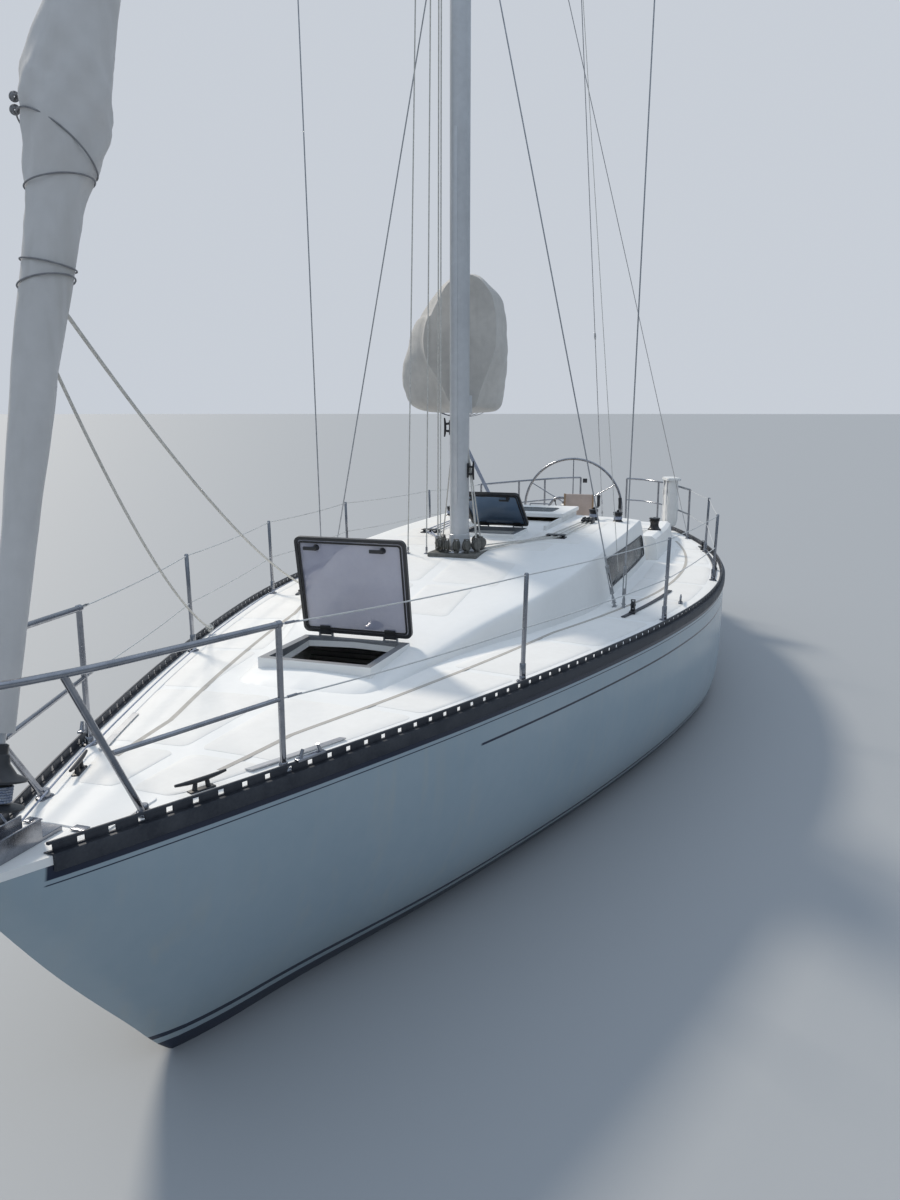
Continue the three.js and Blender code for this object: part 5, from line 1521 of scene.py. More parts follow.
piece("seat_latches", [[slab((-2.45, -2.33), (s * 0.385 - 0.02, s * 0.385 + 0.012), (1.021, 1.029), 0.003),
                        lathe([(0, 0), (0.016, 0), (0.016, 0.006), (0, 0.008)],
                              (-2.39, s * 0.405, 1.024), 20)]
                       for s in (-1, 1)], STEEL)
gauges = [lathe([(0, 0), (0.032, 0), (0.032, 0.006), (0.026, 0.008), (0, 0.008)], (x, -0.340, 0.86), 28, Y)
          for x in (-2.55, -2.44)]
piece("engine_panel", [slab((-2.62, -2.36), (-0.361, -0.340), (0.76, 0.93), 0.006), *gauges], BLACK)
print("slats", len(slats))

# %% [markdown]
# ## Winches
# A winch is a turned form: a broad foot, a waisted drum with fine ribs that grip the rope, and a
# self-tailing head with a socket for the handle. The ribs are a small wave of the radius round the
# drum.

# %% Winches
WINCH = np.array([
    # radius, height, share of the rib
    [0.070, -0.036, 0], [0.070, 0.006, 0], [0.0675, 0.012, 0], [0.058, 0.016, 0], [0.053, 0.024, 0],
    [0.0475, 0.032, 1], [0.044, 0.046, 1], [0.043, 0.060, 1], [0.044, 0.076, 1], [0.047, 0.088, 1],
    [0.054, 0.096, 0], [0.058, 0.098, 0], [0.0585, 0.102, 0], [0.050, 0.106, 0], [0.049, 0.112, 0],
    [0.058, 0.116, 0], [0.059, 0.120, 0], [0.056, 0.128, 0], [0.040, 0.132, 0], [0.022, 0.133, 0],
    [0.015, 0.133, 0], [0.0145, 0.122, 0], [0.001, 0.122, 0],
])
ROPE_TURNS = [(0.0365, 0.030), *[(r, z + k) for k in (0, 0.010, 0.020)
                                 for r, z in ((0.041, 0.031), (0.041, 0.0395), (0.0365, 0.040))]]


def winch_part(at, scale):
    """Turned profile whose drum rows get ribs: the radius times 1 plus a wave round the drum."""
    a = around(96)
    r = scale * WINCH[:, :1] * (1 + 0.018 * WINCH[:, 2:] * np.sign(np.sin(24 * a)))
    z = np.broadcast_to(WINCH[:, 1:2] * scale, r.shape)
    return solid(np.stack([r * np.cos(a), r * np.sin(a), z], -1) + at)


def handle_part(at, heading):
    """Winch handle: a tapered arm from the socket, with an upright grip at its end."""
    arm = tube([(0, 0, 0), (0.03, 0, 0.004), (0.19, 0, 0.004)], [0.014, 0.012, 0.009], 14)
    grip = lathe([(0, 0), (0.014, 0.001), (0.016, 0.012), (0.0145, 0.06), (0.0175, 0.105), (0.012, 0.114),
                  (0, 0.115)],
                 (0.19, 0, 0.006), 20)
    return shift(spin(join(arm, grip), Z, heading), at)


WINCH_BLACK = finish("winch_black", FITTING, (0.018, 0.018, 0.020), (0.045, 0.045, 0.048), 18.0,
                     (0.22, 0.38), 0.35, 0.1)
CABIN_WINCHES = (("inner", 0.62, 1.5892, 176), ("outer", 0.86, 1.5712, 184))
for name, side in SIDES:
    for label, y, z, _ in CABIN_WINCHES:
        piece(f"cabin_winch_{label}_{name}_fine", winch_part((-1.42, side * y, z), 0.8), WINCH_BLACK)
    piece(f"primary_winch_{name}_fine", winch_part((-2.5, side * 1.095, 1.382), 1.0), WINCH_BLACK)
piece("turns_on_winches", [lathe(ROPE_TURNS, (-1.42, side * y, z)) for name, side in SIDES
                           for _, y, z, _ in CABIN_WINCHES],
      BLUE_ROPE, slot=FITTING)
piece("winch_handles", [handle_part((-1.42, y, z + 0.108), heading) for _, y, z, heading in CABIN_WINCHES],
      BLACK)
print("winches", 6)

# %% [markdown]
# ## Steering
# The pedestal is a moulded column with a steel guard hooped over it, a compass on top and the engine
# lever at its side. The wheel is a steel rim on six thin spokes, and it turns on its own body.

# %% Pedestal
PEDESTAL = np.array([
    # height, half length, half width
    [0.6203, 0.120, 0.120], [0.655, 0.112, 0.112], [0.74, 0.080, 0.085], [1.00, 0.076, 0.080],
    [1.33, 0.072, 0.075], [1.40, 0.104, 0.120], [1.50, 0.102, 0.117], [1.545, 0.098, 0.112],
    [1.560, 0.080, 0.095],
])
PEDESTAL_AT = (-3.285, 0, 0)
column = [oval(z, 2 * through(PEDESTAL, z, 1), 2 * through(PEDESTAL, z, 2), PEDESTAL_AT[0], 40)
          for z in (*np.linspace(0.6203, 1.545, 44), 1.553, 1.558, 1.560)]
piece("pedestal_fine", solid(column), WHITE_MOULD, "steering_pedestal")
hoop = [(-3.15, y, z) for y, z in ((-0.23, 0.6203), (-0.23, 1.52), (-0.15, 1.64), (0.15, 1.64), (0.23, 1.52),
                                   (0.23, 0.6203))]
piece("pedestal_guard", [tube(rounded_path(hoop, 0.07, 10), 0.0138, 18), foot_plate((-3.15, -0.23, 0.6212)),
                         foot_plate((-3.15, 0.23, 0.6212)),
                         rod((-3.525, 0, 1.488), (-3.36, 0, 1.488), 0.0138, 20)],
      STEEL)
piece("guard_bracket", bar((-3.20, -3.118), 0.24, (1.38, 1.41)), WHITE_MOULD)
piece("compass_and_lever", [
    lathe([(0, 1.556), (0.082, 1.556), (0.086, 1.562), (0.086, 1.578), (0.074, 1.584), (0.072, 1.590),
           (0, 1.590)],
          PEDESTAL_AT, 40),
    slab((-3.30, -3.27), (-0.135, -0.115), (1.430, 1.445)),
    rod((-3.285, -0.128, 1.437), (-3.235, -0.165, 1.585), 0.0055),
    lathe([(0, -0.014), (0.010, -0.010), (0.014, 0), (0.010, 0.010), (0, 0.014)],
          (-3.235, -0.165, 1.592), 18),
], BLACK)
DOME = finish("compass_dome", CLEAR, (0.05, 0.055, 0.06), (0.03, 0.035, 0.04), 8.0, (0.03, 0.06), bump=0.0,
              coat=1.0)
a = np.linspace(0, np.pi / 2, 9)
piece("compass_glass", lathe([(0, 1.588), *zip(0.068 * np.cos(a), 1.588 + 0.048 * np.sin(a))], PEDESTAL_AT,
                             36), DOME)
TABLE = finish("cockpit_table", "sole_wood", (0.52, 0.43, 0.39), (0.44, 0.36, 0.32), 9.0, (0.45, 0.6),
               bump=0.1)
piece("folded_table", [slab((x, x + 0.015), (-0.02, 0.32), (1.405, 1.690)) for x in (-3.1165, -3.0985)],
      TABLE)
piece("table_fiddles", [slab((-3.086, -3.078), (-0.026, -0.006), (1.400, 1.695), 0.003),
                        slab((-3.086, -3.078), (0.306, 0.326), (1.400, 1.695), 0.003),
                        slab((-3.118, -3.078), (-0.026, 0.326), (1.392, 1.408), 0.003)], TEAK)

# %% Wheel
WHEEL_AT, WHEEL_RADIUS = np.array([-3.48, 0, 1.488]), 0.59
a = around(120)
rim = WHEEL_AT + WHEEL_RADIUS * np.stack([0 * a, np.cos(a), np.sin(a)], -1)
spokes = [tube([WHEEL_AT + np.array([0, math.cos(b), math.sin(b)]) * out
                for out in (0.040, 0.30, WHEEL_RADIUS - 0.004)],
               [0.0075, 0.0062, 0.0062]) for b in around(6) + math.pi / 6]
hub = lathe([(0.0147, -0.040), (0.030, -0.040), (0.036, -0.034), (0.048, -0.014), (0.048, 0.014),
             (0.036, 0.034), (0.030, 0.040), (0.0147, 0.040)], WHEEL_AT, 40, X)
piece("wheel_fine", [tube(rim, 0.0145, 14, closed=True), *spokes, hub], STEEL, "steering_wheel",
      "steering_wheel")
nut = lathe([(0, -0.046), (0.024, -0.046), (0.026, -0.043), (0.024, -0.0405), (0, -0.0405)], WHEEL_AT, 28, X)
piece("wheel_nut", nut, BLACK, body="steering_wheel")

# %% [markdown]
# ## Rescue bag
# A soft white bag hangs inside the port stern rail. It bellies out below and is drawn flat above, where
# its flap is strapped over the rail. It is a stack of rounded sections whose width and depth change
# with height, with a flap and two straps on it.

# %% Bag
BAG_WIDE, BAG_DEEP, BAG_OUTER, BAG_COVER = 0.150, 0.076, 0.0645, "rescue_cover"
BAG_FACE, BAG_MIDDLE = BAG_OUTER - 2 * BAG_DEEP, BAG_OUTER - BAG_DEEP - 0.003
BAG = np.array([
    # height, share of the width, share of the depth
    [1.190, 0.72, 0.46], [1.205, 0.90, 0.75], [1.26, 0.98, 0.96], [1.42, 1.0, 1.0], [1.60, 0.99, 0.93],
    [1.72, 0.975, 0.86], [1.79, 0.965, 0.82], [1.800, 0.92, 0.74],
])
rail_aft, rail_fore = half_beam(-4.90) - 0.075, half_beam(-4.05) - 0.075
bag_angle = math.atan2(rail_fore - rail_aft, 0.85)
bag_centre = (-4.62 + 0.0745 * math.sin(bag_angle),
              rail_aft + (rail_fore - rail_aft) * 0.28 / 0.85 - 0.0745 * math.cos(bag_angle), 0)


def bag_frame(part):
    return shift(spin(part, Z, math.degrees(bag_angle)), bag_centre)


def bag_section(z, sides=96):
    """Rounded section: a power curve between an ellipse and a box, wide and deep by height."""
    a = around(sides)
    wide, deep = BAG_WIDE * through(BAG, z, 1), BAG_DEEP * through(BAG, z, 2)
    u, v = power(np.cos(a), 0.34) * wide, power(np.sin(a), 0.42) * deep
    sag = 0.003 * np.sin(z * 47 + u * 30) * (np.abs(v) > deep * 0.5) + 0.002 * np.sin(u * 95 + z * 20)
    return np.stack([u, v + np.sign(v) * sag + BAG_MIDDLE, np.full(sides, z)], -1)


bag_z = (1.190, 1.194, 1.199, *np.linspace(1.205, 1.79, 60), 1.794, 1.797, 1.800)
bag_mesh = solid([bag_section(z) for z in bag_z])
VINYL = cloth_finish("white_vinyl", BAG_COVER, (0.82, 0.82, 0.81), (0.72, 0.72, 0.70), 300, 6.0,
                     (0.42, 0.6), 0.15, ((0.5, 0.5, 0.46), 0.5))
VINYL_GREY = cloth_finish("grey_vinyl", BAG_COVER, (0.60, 0.61, 0.63), (0.52, 0.53, 0.55), 300, 6.0,
                          (0.45, 0.6), 0.15)
bag = piece("rescue_bag_soft", bag_frame(bag_mesh), VINYL, "rescue_bag")
set_uv(bag, bag_mesh[0][:, [0, 2]])
flap = [outline_ring(z, 2 * (BAG_WIDE + g), 2 * (BAG_DEEP + g), 0.03, at=(0, BAG_MIDDLE))
        for g, z in ((-0.012, 1.7985), (0.006, 1.772), (0.010, 1.774), (0.010, 1.796), (0.004, 1.806),
                     (-0.010, 1.810))]
piece("rescue_bag_flap", bag_frame(solid(flap)), VINYL)
straps = [slab((u - half, u + half), y, z, radius) for u in (-0.085, 0.085) for half, y, z, radius in (
    (0.019, (BAG_FACE - 0.0045, BAG_FACE + 0.004), (1.22, 1.774), 0.0015),
    (0.025, (BAG_FACE - 0.009, BAG_FACE - 0.001), (1.60, 1.645), 0.003),
    (0.019, (BAG_OUTER - 0.010, BAG_OUTER + 0.020), (1.770, 1.800), 0.004))]
piece("rescue_bag_straps", bag_frame(join(straps)), VINYL_GREY)

# %% [markdown]
# ## Fittings on deck
# Cleats, fairleads, blocks, tracks and the bow fitting are cast or machined metal. Each kind is drawn
# once at 0 and then turned and set down on the deck's own height.

# %% Fitting kinds
def cleat_part(long):
    """Horn cleat: two legs on a base, and a bar that tapers and lifts towards both ends."""
    u = np.linspace(-1, 1, 25)
    horns = tube(np.stack([u * long / 2, 0 * u, 0.040 + 0.006 * u ** 2], -1), 0.0095 - 0.004 * u ** 2)
    return join(horns, [rod((k * 0.030, 0, 0.004), (k * 0.024, 0, 0.042), 0.010, 12, 0.008) for k in (-1, 1)],
                pad(0.055, 0.017, -0.006, 0.006))


def pulley_part(radius=0.028, thick=0.022):
    """Block: two round cheeks, a sheave between them and a shackle eye above, standing on its edge."""
    out, over, axle = thick / 2 + 0.0035, 2 * radius + 0.014, (0, 0, radius + 0.012)
    cheek = [(0, -0.002), (radius, -0.002), (radius, 0.001), (radius * 0.7, 0.004), (0, 0.004)]
    sheave = [(0, -0.008), (radius * 0.9, -0.008), (radius * 0.75, 0), (radius * 0.9, 0.008), (0, 0.008)]
    pairs = [[lathe(cheek, (0, s * thick / 2, axle[2]), 24, (0, s, 0)),
              shift(pad(0.008, 0.0015, 0, over + 0.006, 0.0012), (0, s * out, 0))] for s in (-1, 1)]
    return join(*pairs, lathe(sheave, axle, 24, Y), pad(0.016, 0.013, -0.004, 0.014, 0.003),
                pad(0.008, out, over, over + 0.006, 0.0012), bush(0, 0.007, out + 0.005, axle, 16, Y))


def set_down(part, x, y, heading=0.0, height=None, lift=0.0):
    """Turns a part by a heading and sets it on the deck, or on another height."""
    z = deck_z(x, y) if height is None else height
    return shift(spin(part, Z, heading), (x, y, z + lift))


def track(x0, x1, gap, side, count=40):
    """T track along the deck: a low bar with a wider cap, both carried beside the deck edge."""
    x = np.linspace(x0, x1, count)[:, None]
    section = np.array([(-0.010, -0.004), (0.010, -0.004), (0.010, 0.005), (0.016, 0.007), (0.016, 0.011),
                        (-0.016, 0.011), (-0.016, 0.007), (-0.010, 0.005)])
    y = half_beam(x) - gap
    return solid(np.stack([np.broadcast_to(x, (count, 8)), side * (y + section[:, 0]),
                           deck_z(x, y) + section[:, 1]], -1))


# %% Fittings set down
SHEET_CAR_X = 0.95
CHOCK = join(pad(0.075, 0.014, 0.004, 0.016, 0.003),
             [rod((k * 0.055, 0, 0.012), (k * 0.040, 0, 0.050), 0.010, 12, 0.007) for k in (-1, 1)])
piece("fore_cleats", [set_down(cleat_part(0.22), 4.92, s * 0.28, -24 * s) for s in (1, -1)], BLACK)
cleats = [set_down(cleat_part(0.22), x, s * (half_beam(x) - gap), 4 * s)
          for x, gap in ((0.35, 0.16), (-5.2, 0.20))
          for s in (1, -1)]
piece("cleats", cleats, STEEL)
piece("fairleads", [set_down(CHOCK, x, s * (half_beam(x) - 0.012), s * heading, sheer(x) + 0.040)
                    for x, heading in ((4.55, -math.degrees(math.atan2(0.45, 1.2))), (-5.35, 14))
                    for s in (1, -1)],
      STEEL)
piece("fore_tracks", [track(4.22, 4.70, 0.15, s) for s in (1, -1)], ALLOY)
piece("sheet_tracks", [track(x0, x1, gap, s) for s in (1, -1)
                       for x0, x1, gap in ((-3.3, -0.9, 0.085), (-0.1, 1.15, 0.34))],
      RAIL_ALLOY)
cars = [[set_down(pad(0.055, 0.024, 0.004, 0.020, 0.005), x, s * (half_beam(x) - gap)),
         set_down(pulley_part(0.033), x, s * (half_beam(x) - gap), lift=0.018)]
        for s in (1, -1) for x, gap in ((-1.55, 0.085), (-3.05, 0.085), (SHEET_CAR_X, 0.34))]
piece("sheet_cars", cars, BLACK)
softened("stem_fitting", STEEL, 0.0025, 2)
roller = [(0.006, -0.034), (0.026, -0.034), (0.016, -0.010), (0.016, 0.010), (0.026, 0.034), (0.006, 0.034)]
piece("bow_roller", [lathe(roller, (5.80, 0, 1.293), 28, Y),
                     rod((5.80, -0.043, 1.293), (5.80, 0.043, 1.293), 0.0058, 14)],
      RUBBER)
print("cleats", len(cleats), "cars", len(cars))

# %% Bow and stern details
nose = front_bend[np.abs(front_bend[:, 1]).argmin()] * [1, 0, 1] - (0.010, 0, 0.040)
stern_lamp = deck_z(-5.69, 0)
piece("lamp_bodies", [shift(bar((-0.060, 0.004), 0.034, (-0.026, 0.018), 0.006), nose),
                      shift(bar((-0.030, 0.012), 0.012, (0.014, 0.044), 0.003), nose),
                      slab((-5.72, -5.69), (-0.30, -0.24), (stern_lamp + 0.52, stern_lamp + 0.58), 0.006)],
      BLACK)
for (name, side), tone in zip(SIDES, ((0.35, 0.015, 0.01), (0.01, 0.16, 0.05))):
    glass = slab((-0.030, 0.009), (side * 0.0195 - 0.0165, side * 0.0195 + 0.0165), (-0.018, 0.012))
    piece(f"bow_lamp_glass_{name}", shift(glass, nose),
          finish(f"lamp_{name}", CLEAR, tone, tone, 5.0, (0.08, 0.15), coat=0.6))
piece("anchor_locker_lid", panel(5.05, 5.37, level(-0.19), level(0.19), deck_z, 0.006, 0.03), GLOSS_DECK)
piece("anchor_locker_hinges", [set_down(pad(0.018, 0.028, 0.004, 0.010, 0.002), 5.37, y)
                               for y in (-0.10, 0.10)], STEEL)
vent = [(0, -0.004), (0.062, -0.004), (0.062, 0.004), (0.050, 0.010), (0.034, 0.022), (0.024, 0.026),
        (0, 0.027)]
piece("deck_vents", [lathe(vent, (x, y, height(x, y)), 40) for x, y, height in (
    (2.62, 0.0, roof_z), (-5.25, 0.42, deck_z), (-5.25, -0.42, deck_z))], STEEL)
filler = [(0, -0.002), (0.030, -0.002), (0.030, 0.003), (0.022, 0.0045), (0, 0.0045)]
piece("deck_fillers", [lathe(filler, (x, y, deck_z(x, y)), 28)
                       for x, y in ((-3.5, 1.55), (-0.8, 1.42), (-0.8, -1.42))],
      STEEL)

# Webbing lies along each side deck: a flat section carried beside the coachroof.
x = np.linspace(4.74, -3.6, 90)
beside_roof = roof_side(np.clip(x, -1.7, 2.9), 0.045)[:, :, 1].max(1) * ((x < 2.9) & (x > -1.8))
inset = np.interp(x, [-3.6, 0.0, 1.85, 4.26, 4.74], [0.30, 0.42, 0.52, 0.36, 0.24])
y = np.maximum(half_beam(x) - inset, beside_roof)
JACK_WEB = finish("jackline_webbing", CLOTH, (0.50, 0.47, 0.43), (0.42, 0.40, 0.37), 20.0, (0.85, 0.95), 0,
                  0.6, 300)
piece("jacklines", [solid(np.stack([np.stack([x, s * y + k * 0.026, deck_z(x, y) + up], -1) for k, up in (
    (-0.5, 0.0005), (0.5, 0.0005), (0.5, 0.0032), (-0.5, 0.0032))], 1)) for s in (1, -1)], JACK_WEB)
print("webbing", len(x), "rows a side")

# %% [markdown]
# ## Fittings round the mast and lines led aft
# The halyards come down the mast to a ring of turning blocks on its collar, run over the coachroof
# through organisers and clutches, and end on the winches. They are ropes held taut, so each is a plain
# tube on a path that follows the roof.

# %% Blocks, organisers and clutches
def on_roof(x, y, lift):
    x, y = np.asarray(x, float), np.asarray(y, float)
    return np.stack([x, y, roof_z(x, y) + lift], -1)


COLLAR_Z = 1.589
ring_blocks, LEADS = [], []
for angle, where in ((70, 0.165), (110, 0.165), (150, 0.185), (-70, 0.165), (-110, 0.165), (-150, 0.185),
                     (10, 0.150), (38, 0.165), (-20, 0.155), (-42, 0.165)):
    at = MAST_X + where * math.cos(math.radians(angle)) * 1.05, where * math.sin(math.radians(angle))
    ring_blocks.append(set_down(pulley_part(0.042, 0.030), *at, 180 - 0.35 * angle, COLLAR_Z))
    LEADS.append(np.array([*at, COLLAR_Z + 0.06]))
ring_blocks.append(bar((MAST_X - 0.22, MAST_X + 0.195), 0.195, (1.552, 1.586), 0.008))
BLOCK_GREY = finish("weathered_blocks", FITTING, (0.10, 0.10, 0.09), (0.18, 0.175, 0.16), 30.0, (0.5, 0.7),
                    0.2, 0.3)
piece("mast_blocks", ring_blocks, BLOCK_GREY)
sheave = [(0, 0.004), (0.022, 0.004), (0.016, 0.012), (0.022, 0.020), (0, 0.020)]
organiser = join(pad(0.05, 0.085, -0.006, 0.004, 0.003), pad(0.045, 0.080, 0.020, 0.026, 0.003))
clutch = join(pad(0.075, 0.016, -0.004, 0.040, 0.007),
              slab((-0.070, 0.030), (-0.012, 0.012), (0.040, 0.052), 0.005))
roof_gear = []
for s in (1, -1):
    roof_gear.append(shift(organiser, on_roof(0.02, s * 0.56, 0.004)))
    roof_gear += [lathe(sheave, on_roof(0.02, s * y, 0.004), 20) for y in (0.50, 0.56, 0.62)]
    roof_gear += [shift(clutch, on_roof(-1.13, s * y, 0)) for y in (0.58, 0.62, 0.66)]
piece("organisers_and_clutches", roof_gear, BLACK)


def lead_path(start, turn, out):
    """From a turning block to an organiser, a clutch and a winch, a little over the roof."""
    s, share = np.sign(start[1]), np.linspace(0, 1, 24)[1:]
    first = on_roof(start[0] + (0.02 - start[0]) * share, start[1] + (s * turn - start[1]) * share, 0.016)
    second = on_roof(0.02 - 1.15 * share, s * (turn + (out - turn) * share), 0.016)
    third = on_roof(-1.20 - 0.18 * share[::4], s * (out + (0.584 - out) * share[::4]), 0.030)
    return np.vstack([[start], first, second, third])


leads = [tube(lead_path(start, 0.50 + 0.06 * (k % 3), 0.58 + 0.04 * (k % 3)), 0.0056, 8)
         for k, start in enumerate(LEADS[:6])]
piece("leads_port", leads[:3], WHITE_ROPE)
piece("leads_stbd", leads[3:], BLUE_ROPE)
print("leads", len(leads))

# %% Mast cleats and halyards
cleat = spin(cleat_part(0.14), Y, 90)
piece("mast_fittings", [shift(spin(cleat, Z, 90 * s), (MAST_X + 0.01, s * 0.071, z))
                        for s, z in ((1, 2.20), (-1, 2.52))],
      WINCH_BLACK)


def loop(size, rope, angles):
    return tube(np.stack([size * np.cos(angles), size * np.sin(angles), 0 * angles], -1), rope, 8,
                closed=True)


eyes = [on_roof(x, y, 0.036) for x, y in ((1.03, -0.236), (1.05, -0.381))]
eye_ring = spin(loop(0.013, 0.0035, np.arange(20) * 0.314), X, 90)
pads = [[shift(pad(0.024, 0.014, -0.006, 0.004, 0.003), eye - (0, 0, 0.036)),
         shift(eye_ring, eye - (0, 0, 0.018)),
         rod(eye - (0, 0, 0.012), eye + (0, 0, 0.014), 0.0085)] for eye in eyes]
piece("roof_eyes", pads, STEEL)
halyards = [(MAST_X - 0.02 + 0.03 * k, 0.068 - 0.012 * k, 2.30 + 0.16 * k, LEADS[k]) for k in range(3)]
halyards += [(MAST_X - 0.02 - 0.03 * k, -0.068 + 0.012 * k, 2.36 + 0.16 * k, LEADS[4 + k]) for k in range(2)]
halyards += [(MAST_X + 0.10, -0.075, 16.40, LEADS[3]), (MAST_X + 0.02, -0.090, 16.42, LEADS[9]),
             (MAST_X - 0.02, -0.09, 16.3, eyes[0]), (MAST_X, -0.08, 16.2, eyes[1])]
piece("halyards", [rod(top, foot + (0, 0, 0.01), 0.0052, 8) for *top, foot in halyards], WHITE_ROPE)
quarter = deck_point(-4.0, 0.10, 0)
piece("running_stay_port", [rod((MAST_X - 0.09, 0.03, 8.05), quarter + (0, 0, 0.09), 0.0036, 8),
                            rod(quarter + (0, 0, 0.09), quarter, 0.009)], WIRE)
flag_top = spreader_tip("lower", 1) * [1, 0.55, 1] - (0, 0, 0.01)
piece("flag_halyard", rod(flag_top, (0.74, 1.20, 1.45), 0.0024, 6), WHITE_ROPE)
print("halyards", len(halyards))

# %% [markdown]
# ## Running gear of the boom and the headsail
# The vang is a telescopic tube under the boom. The mainsheet crosses from the boom to the cockpit, and the
# topping lift hangs from the masthead to the boom's end; both are laid in place once, on neither body. The
# genoa sheet leaves the roll and runs to the starboard rail.

# %% Vang, sheet and ties
vang_foot, vang_head = np.array([0, 0, STEP_Z + 0.19]), np.array([-1.325, 0, BOOM_Z - 0.125])


def on_vang(f):
    return vang_foot + (vang_head - vang_foot) * f


boom_piece("vang_fine", [
    rod(on_vang(0.009), on_vang(0.08), 0.012, 16), rod(on_vang(0.575), on_vang(1.0), 0.0195, 24),
    tube([on_vang(f) for f in (0.06, 0.07, 0.57, 0.585)], [0.026, 0.030, 0.030, 0.027], 28),
    bush(0.0079, 0.020, 0.038, vang_foot), bush(0, 0.024, 0.02, vang_head + (0.004, 0, 0.010), 20, Y),
], ALLOY, "boom_vang")
boom_piece("reef_lines", [tube([(-0.20 - 0.02 * k, y, BOOM_Z - 0.07), (-2.2, y * 1.3, BOOM_Z - 0.085),
                                (-4.40, y, BOOM_Z - 0.06)], 0.0042, 8)
                          for k, y in enumerate((0.018, -0.018))], BLUE_ROPE)
hung = spin(pulley_part(0.03), X, 180)
boom_piece("boom_blocks", [shift(hung, (-3.90, 0, BOOM_Z - 0.064)), shift(hung, (-4.02, 0, BOOM_Z - 0.064)),
                           shift(pulley_part(0.026), (-4.36, 0, BOOM_Z + 0.066))], BLACK)


def tie_part(run):
    """Webbing round bundle and boom: the bundle's own section at a tie, a touch larger, as a band."""
    half, tall = through(BUNDLE, run, 1), through(BUNDLE, run, 2) - BUNDLE_LOW
    f, g = (through(wrapped(RING, RING), np.linspace(0, 16, 96, endpoint=False), k) for k in (1, 2))
    y = (f * half + np.sign(f) * 0.04 * (1 - np.abs(f))) * (0.84 + 0.16 * (1 - smooth((g - 0.05) / 0.2)))
    z = tall * g * (1 - 0.06 * smooth((g - 0.5) / 0.5)) - 0.03 * (1 - smooth(g / 0.1))
    way = np.stack([y, z - tall / 2], -1)
    way /= np.linalg.norm(way, axis=1)[:, None]
    rows = [np.stack([np.full(96, dx - run), y + way[:, 0] * lift, BUNDLE_LOW + z + way[:, 1] * lift], -1)
            for dx, lift in ((-0.019, 0.001), (-0.019, 0.0045), (0.019, 0.0045), (0.019, 0.001))]
    return grid(rows, ring=True, closed=True)


WEBBING = finish("tie_webbing", CLOTH, (0.045, 0.055, 0.09), (0.07, 0.08, 0.12), 20.0, (0.8, 0.95), 0,
                 0.6, 300)
boom_piece("sail_ties", [tie_part(run) for run in TIES], WEBBING)
car, sheet_top = np.array([-2.955, -0.62, 1.085]), on_boom(3.96, 0.0, BOOM_Z - 0.13)
sheet_parts = [tube(np.linspace(car + (dx, dy, 0.055), sheet_top + (dx, dy, 0), 24), 0.0055, 8)
               for dx, dy in ((0.018, 0.010), (-0.018, 0.010), (0.018, -0.012), (-0.018, -0.012))]
piece("mainsheet", sheet_parts, BLUE_ROPE, body=("hull", "boom", tuple(car + (0, 0, 0.06)), tuple(sheet_top)))
piece("traveller", [bar((-2.990, -2.920), 0.96, (1.020, 1.040), 0.005),
                    bar((-2.972, -2.938), 0.95, (1.040, 1.062)),
                    slab((-2.992, -2.918), (-0.68, -0.56), (1.050, 1.078), 0.006)], RAIL_ALLOY)
piece("traveller_block", shift(pulley_part(0.032), car - (0, 0, 0.01)), BLACK)
lift_top, lift_end = np.array([0.752, 0, 16.57]), on_boom(4.43, 0.0, BOOM_Z + 0.07)
piece("topping_lift", tube(np.linspace(lift_top, lift_end, 30), 0.0034, 8), WIRE_COAT,
      body=("hull", "boom", tuple(lift_top), tuple(lift_end)))

# %% Genoa sheets
def lashing(middle, tilt, droop):
    """Ring of cord round the roll, higher on one side by the tilt and lower in front by the droop."""
    angle = around(72)
    run = middle + tilt * np.sin(angle - math.radians(40)) - droop * np.cos(angle - math.radians(40))
    return tube(about_stay(run, angle, through(ROLL, run, 1) * 1.012 + 0.003), 0.003, 8, closed=True)


def knot_loops(middle, size=0.013, rope=0.0045):
    """Bowline: three small loops of rope that cross."""
    turned = ((X, 20), ((1, 0.3, 0), 80), ((0, 1, 0.4), 110))
    return join([shift(spin(loop(size, rope, around(20)), axis, degrees), middle)
                 for axis, degrees in turned])


LASHING = finish("lashing_cord", CLOTH, (0.27, 0.27, 0.28), (0.20, 0.20, 0.21), 60.0, (0.8, 0.95), 0,
                 0.6, 420)
piece("genoa_lashings", [lashing(2.27, -0.072, 0.0), lashing(2.14, 0.036, 0.01), lashing(1.86, 0.0, 0.018),
                         lashing(1.80, 0.03, 0.0)], LASHING)
piece("genoa_knots", [knot_loops(about_stay(np.array(run), np.radians(angle), through(ROLL, run, 1) + 0.008))
                      for run, angle in ((2.385, -42), (2.352, -50))], LASHING)
rail_a = np.array([SHEET_CAR_X, 0.34 - half_beam(SHEET_CAR_X), deck_z(SHEET_CAR_X, 1.5) + 0.06])
rail_b = np.array([2.54, 0.05 - half_beam(2.54), sheer(2.54) + 0.045])
piece("genoa_sheets", [tube(sagging(stay_point(1.86, -0.120), rail_a, 0.15, 40), 0.0075, 10),
                       tube(sagging(stay_point(1.70, -0.115, -0.01), rail_b, 0.17, 30), 0.0065, 10),
                       knot_loops(rail_b, 0.020, 0.0065)], WHITE_ROPE)
x = np.linspace(5.50, -3.4, 60)
y = np.where(x > 4.6, -np.interp(x, [4.6, 5.5], [half_beam(4.6) - 0.085, 0.06]), 0.115 - half_beam(x))
piece("furling_line", tube(np.vstack([[stay_point(0.145, -0.05)], np.stack([x, y, deck_z(x, y) + 0.03], -1)]),
                           0.004, 8),
      BLUE_ROPE)
print("sheets done")

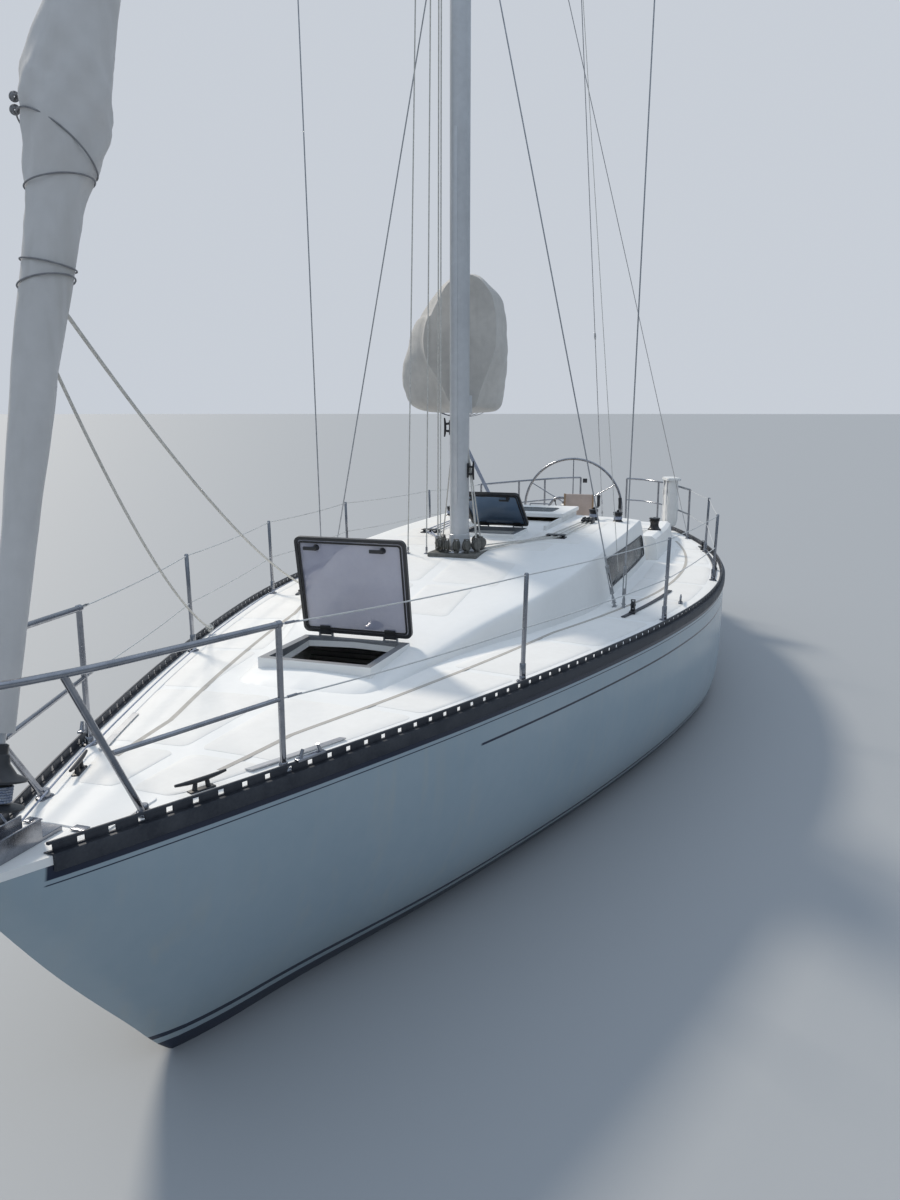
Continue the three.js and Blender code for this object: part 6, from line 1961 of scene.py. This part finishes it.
# %% [markdown]
# ## Below the water
# Keel, rudder, propeller and strut are foils and turned forms, which the water hides here but not in
# other uses of the model. A foil section is round in front and thin behind, and it is carried down
# through a few rows.

# %% Foils
def foil(table, z):
    """Foil sections at heights: half thickness by the share of the chord f is 2.6 times the thickness
    times (0.38 root of f - 0.16 f - 0.22 f squared), plus a blunt trailing edge."""
    leading, chord, thick = (through(table, z, k)[:, None] for k in (1, 2, 3))
    f = np.linspace(0, 1, 26)[None] ** 1.7
    half = thick * 2.6 * (0.38 * np.sqrt(f) - 0.16 * f - 0.22 * f * f) + 0.002
    port = np.stack([leading - chord * f, half, np.broadcast_to(z[:, None], half.shape)], -1)
    return solid(np.concatenate([port, (port * [1, -1, 1])[:, ::-1]], 1))


# The rows hold a height, the leading edge's x, the chord and the thickness.
KEEL = np.array([[-2.030, 0.500, 1.300, 0.120], [-1.975, 0.600, 1.560, 0.250], [-1.850, 0.640, 1.600, 0.260],
                 [-1.700, 0.600, 1.380, 0.170], [-1.100, 0.780, 1.640, 0.200], [-0.300, 1.050, 2.050, 0.250]])
RUDDER = np.array([[-1.750, -4.700, 0.340, 0.044], [-1.250, -4.655, 0.460, 0.070],
                   [-0.600, -4.620, 0.540, 0.086], [-0.150, -4.605, 0.555, 0.090]])
KEEL_PAINT = finish("keel_paint_dark", "keel_paint", (0.035, 0.05, 0.085), (0.07, 0.075, 0.08), 4.0,
                    (0.7, 0.88), 0, 0.6, 120, 0.003)
keel_z = np.concatenate([np.linspace(-2.030, -1.70, 22), np.linspace(-1.70, -0.40, 18)[1:]])
piece("keel_fine", foil(KEEL, keel_z), KEEL_PAINT, "fin_keel")
piece("rudder_fine", [foil(RUDDER, np.linspace(-1.750, -0.24, 26)),
                      rod((-4.75, 0, -0.40), (-4.75, 0, 0.42), 0.0298, 28)],
      ANTIFOUL, body="rudder")

# %% Propeller and shaft
PROP_AT, SHAFT_TILT = np.array([-3.15, 0, -0.64]), 9


def blade(turn):
    """Blade: rows of thin lens sections out from the hub, turned more steeply near it."""
    s, a = np.linspace(0, 1, 18)[:, None], around(28)[None]
    chord = 0.030 + 0.115 * np.sin(np.pi * (0.12 + 0.80 * s)) * np.sqrt(np.clip(1.02 - s ** 4, 0, 1))
    pitch = np.radians(62 - 36 * s)
    c, t = np.cos(a) * chord / 2, np.sin(a) * (0.0075 * (1 - 0.75 * s) + 0.0008)
    across, along = c * np.sin(pitch) + t * np.cos(pitch), c * np.cos(pitch) - t * np.sin(pitch)
    rows = np.stack([across, along, np.broadcast_to(0.030 + s * 0.183, across.shape)], -1)
    return shift(spin(spin(solid(rows), X, turn), Y, -SHAFT_TILT), PROP_AT)


hub = lathe([(0, -0.130), (0.012, -0.128), (0.026, -0.10), (0.036, -0.068), (0.038, 0.0), (0.036, 0.088),
             (0.016, 0.094), (0.0148, 0.10), (0.0148, 0.96), (0, 0.96)], PROP_AT, 32,
            (math.cos(math.radians(SHAFT_TILT)), 0, math.sin(math.radians(SHAFT_TILT))))
piece("propeller_fine", [hub, blade(0), blade(120), blade(240)], BRONZE, body="propeller")
for plain, coat, width in (("shaft_strut", BRONZE, 0.004), ("shaft_log", ANTIFOUL, 0.004),
                           ("cabin_sole", SOLE, 0.004), ("engine_block", ENGINE, 0.018)):
    softened(plain, coat, width, 2)
print("underwater pieces done")
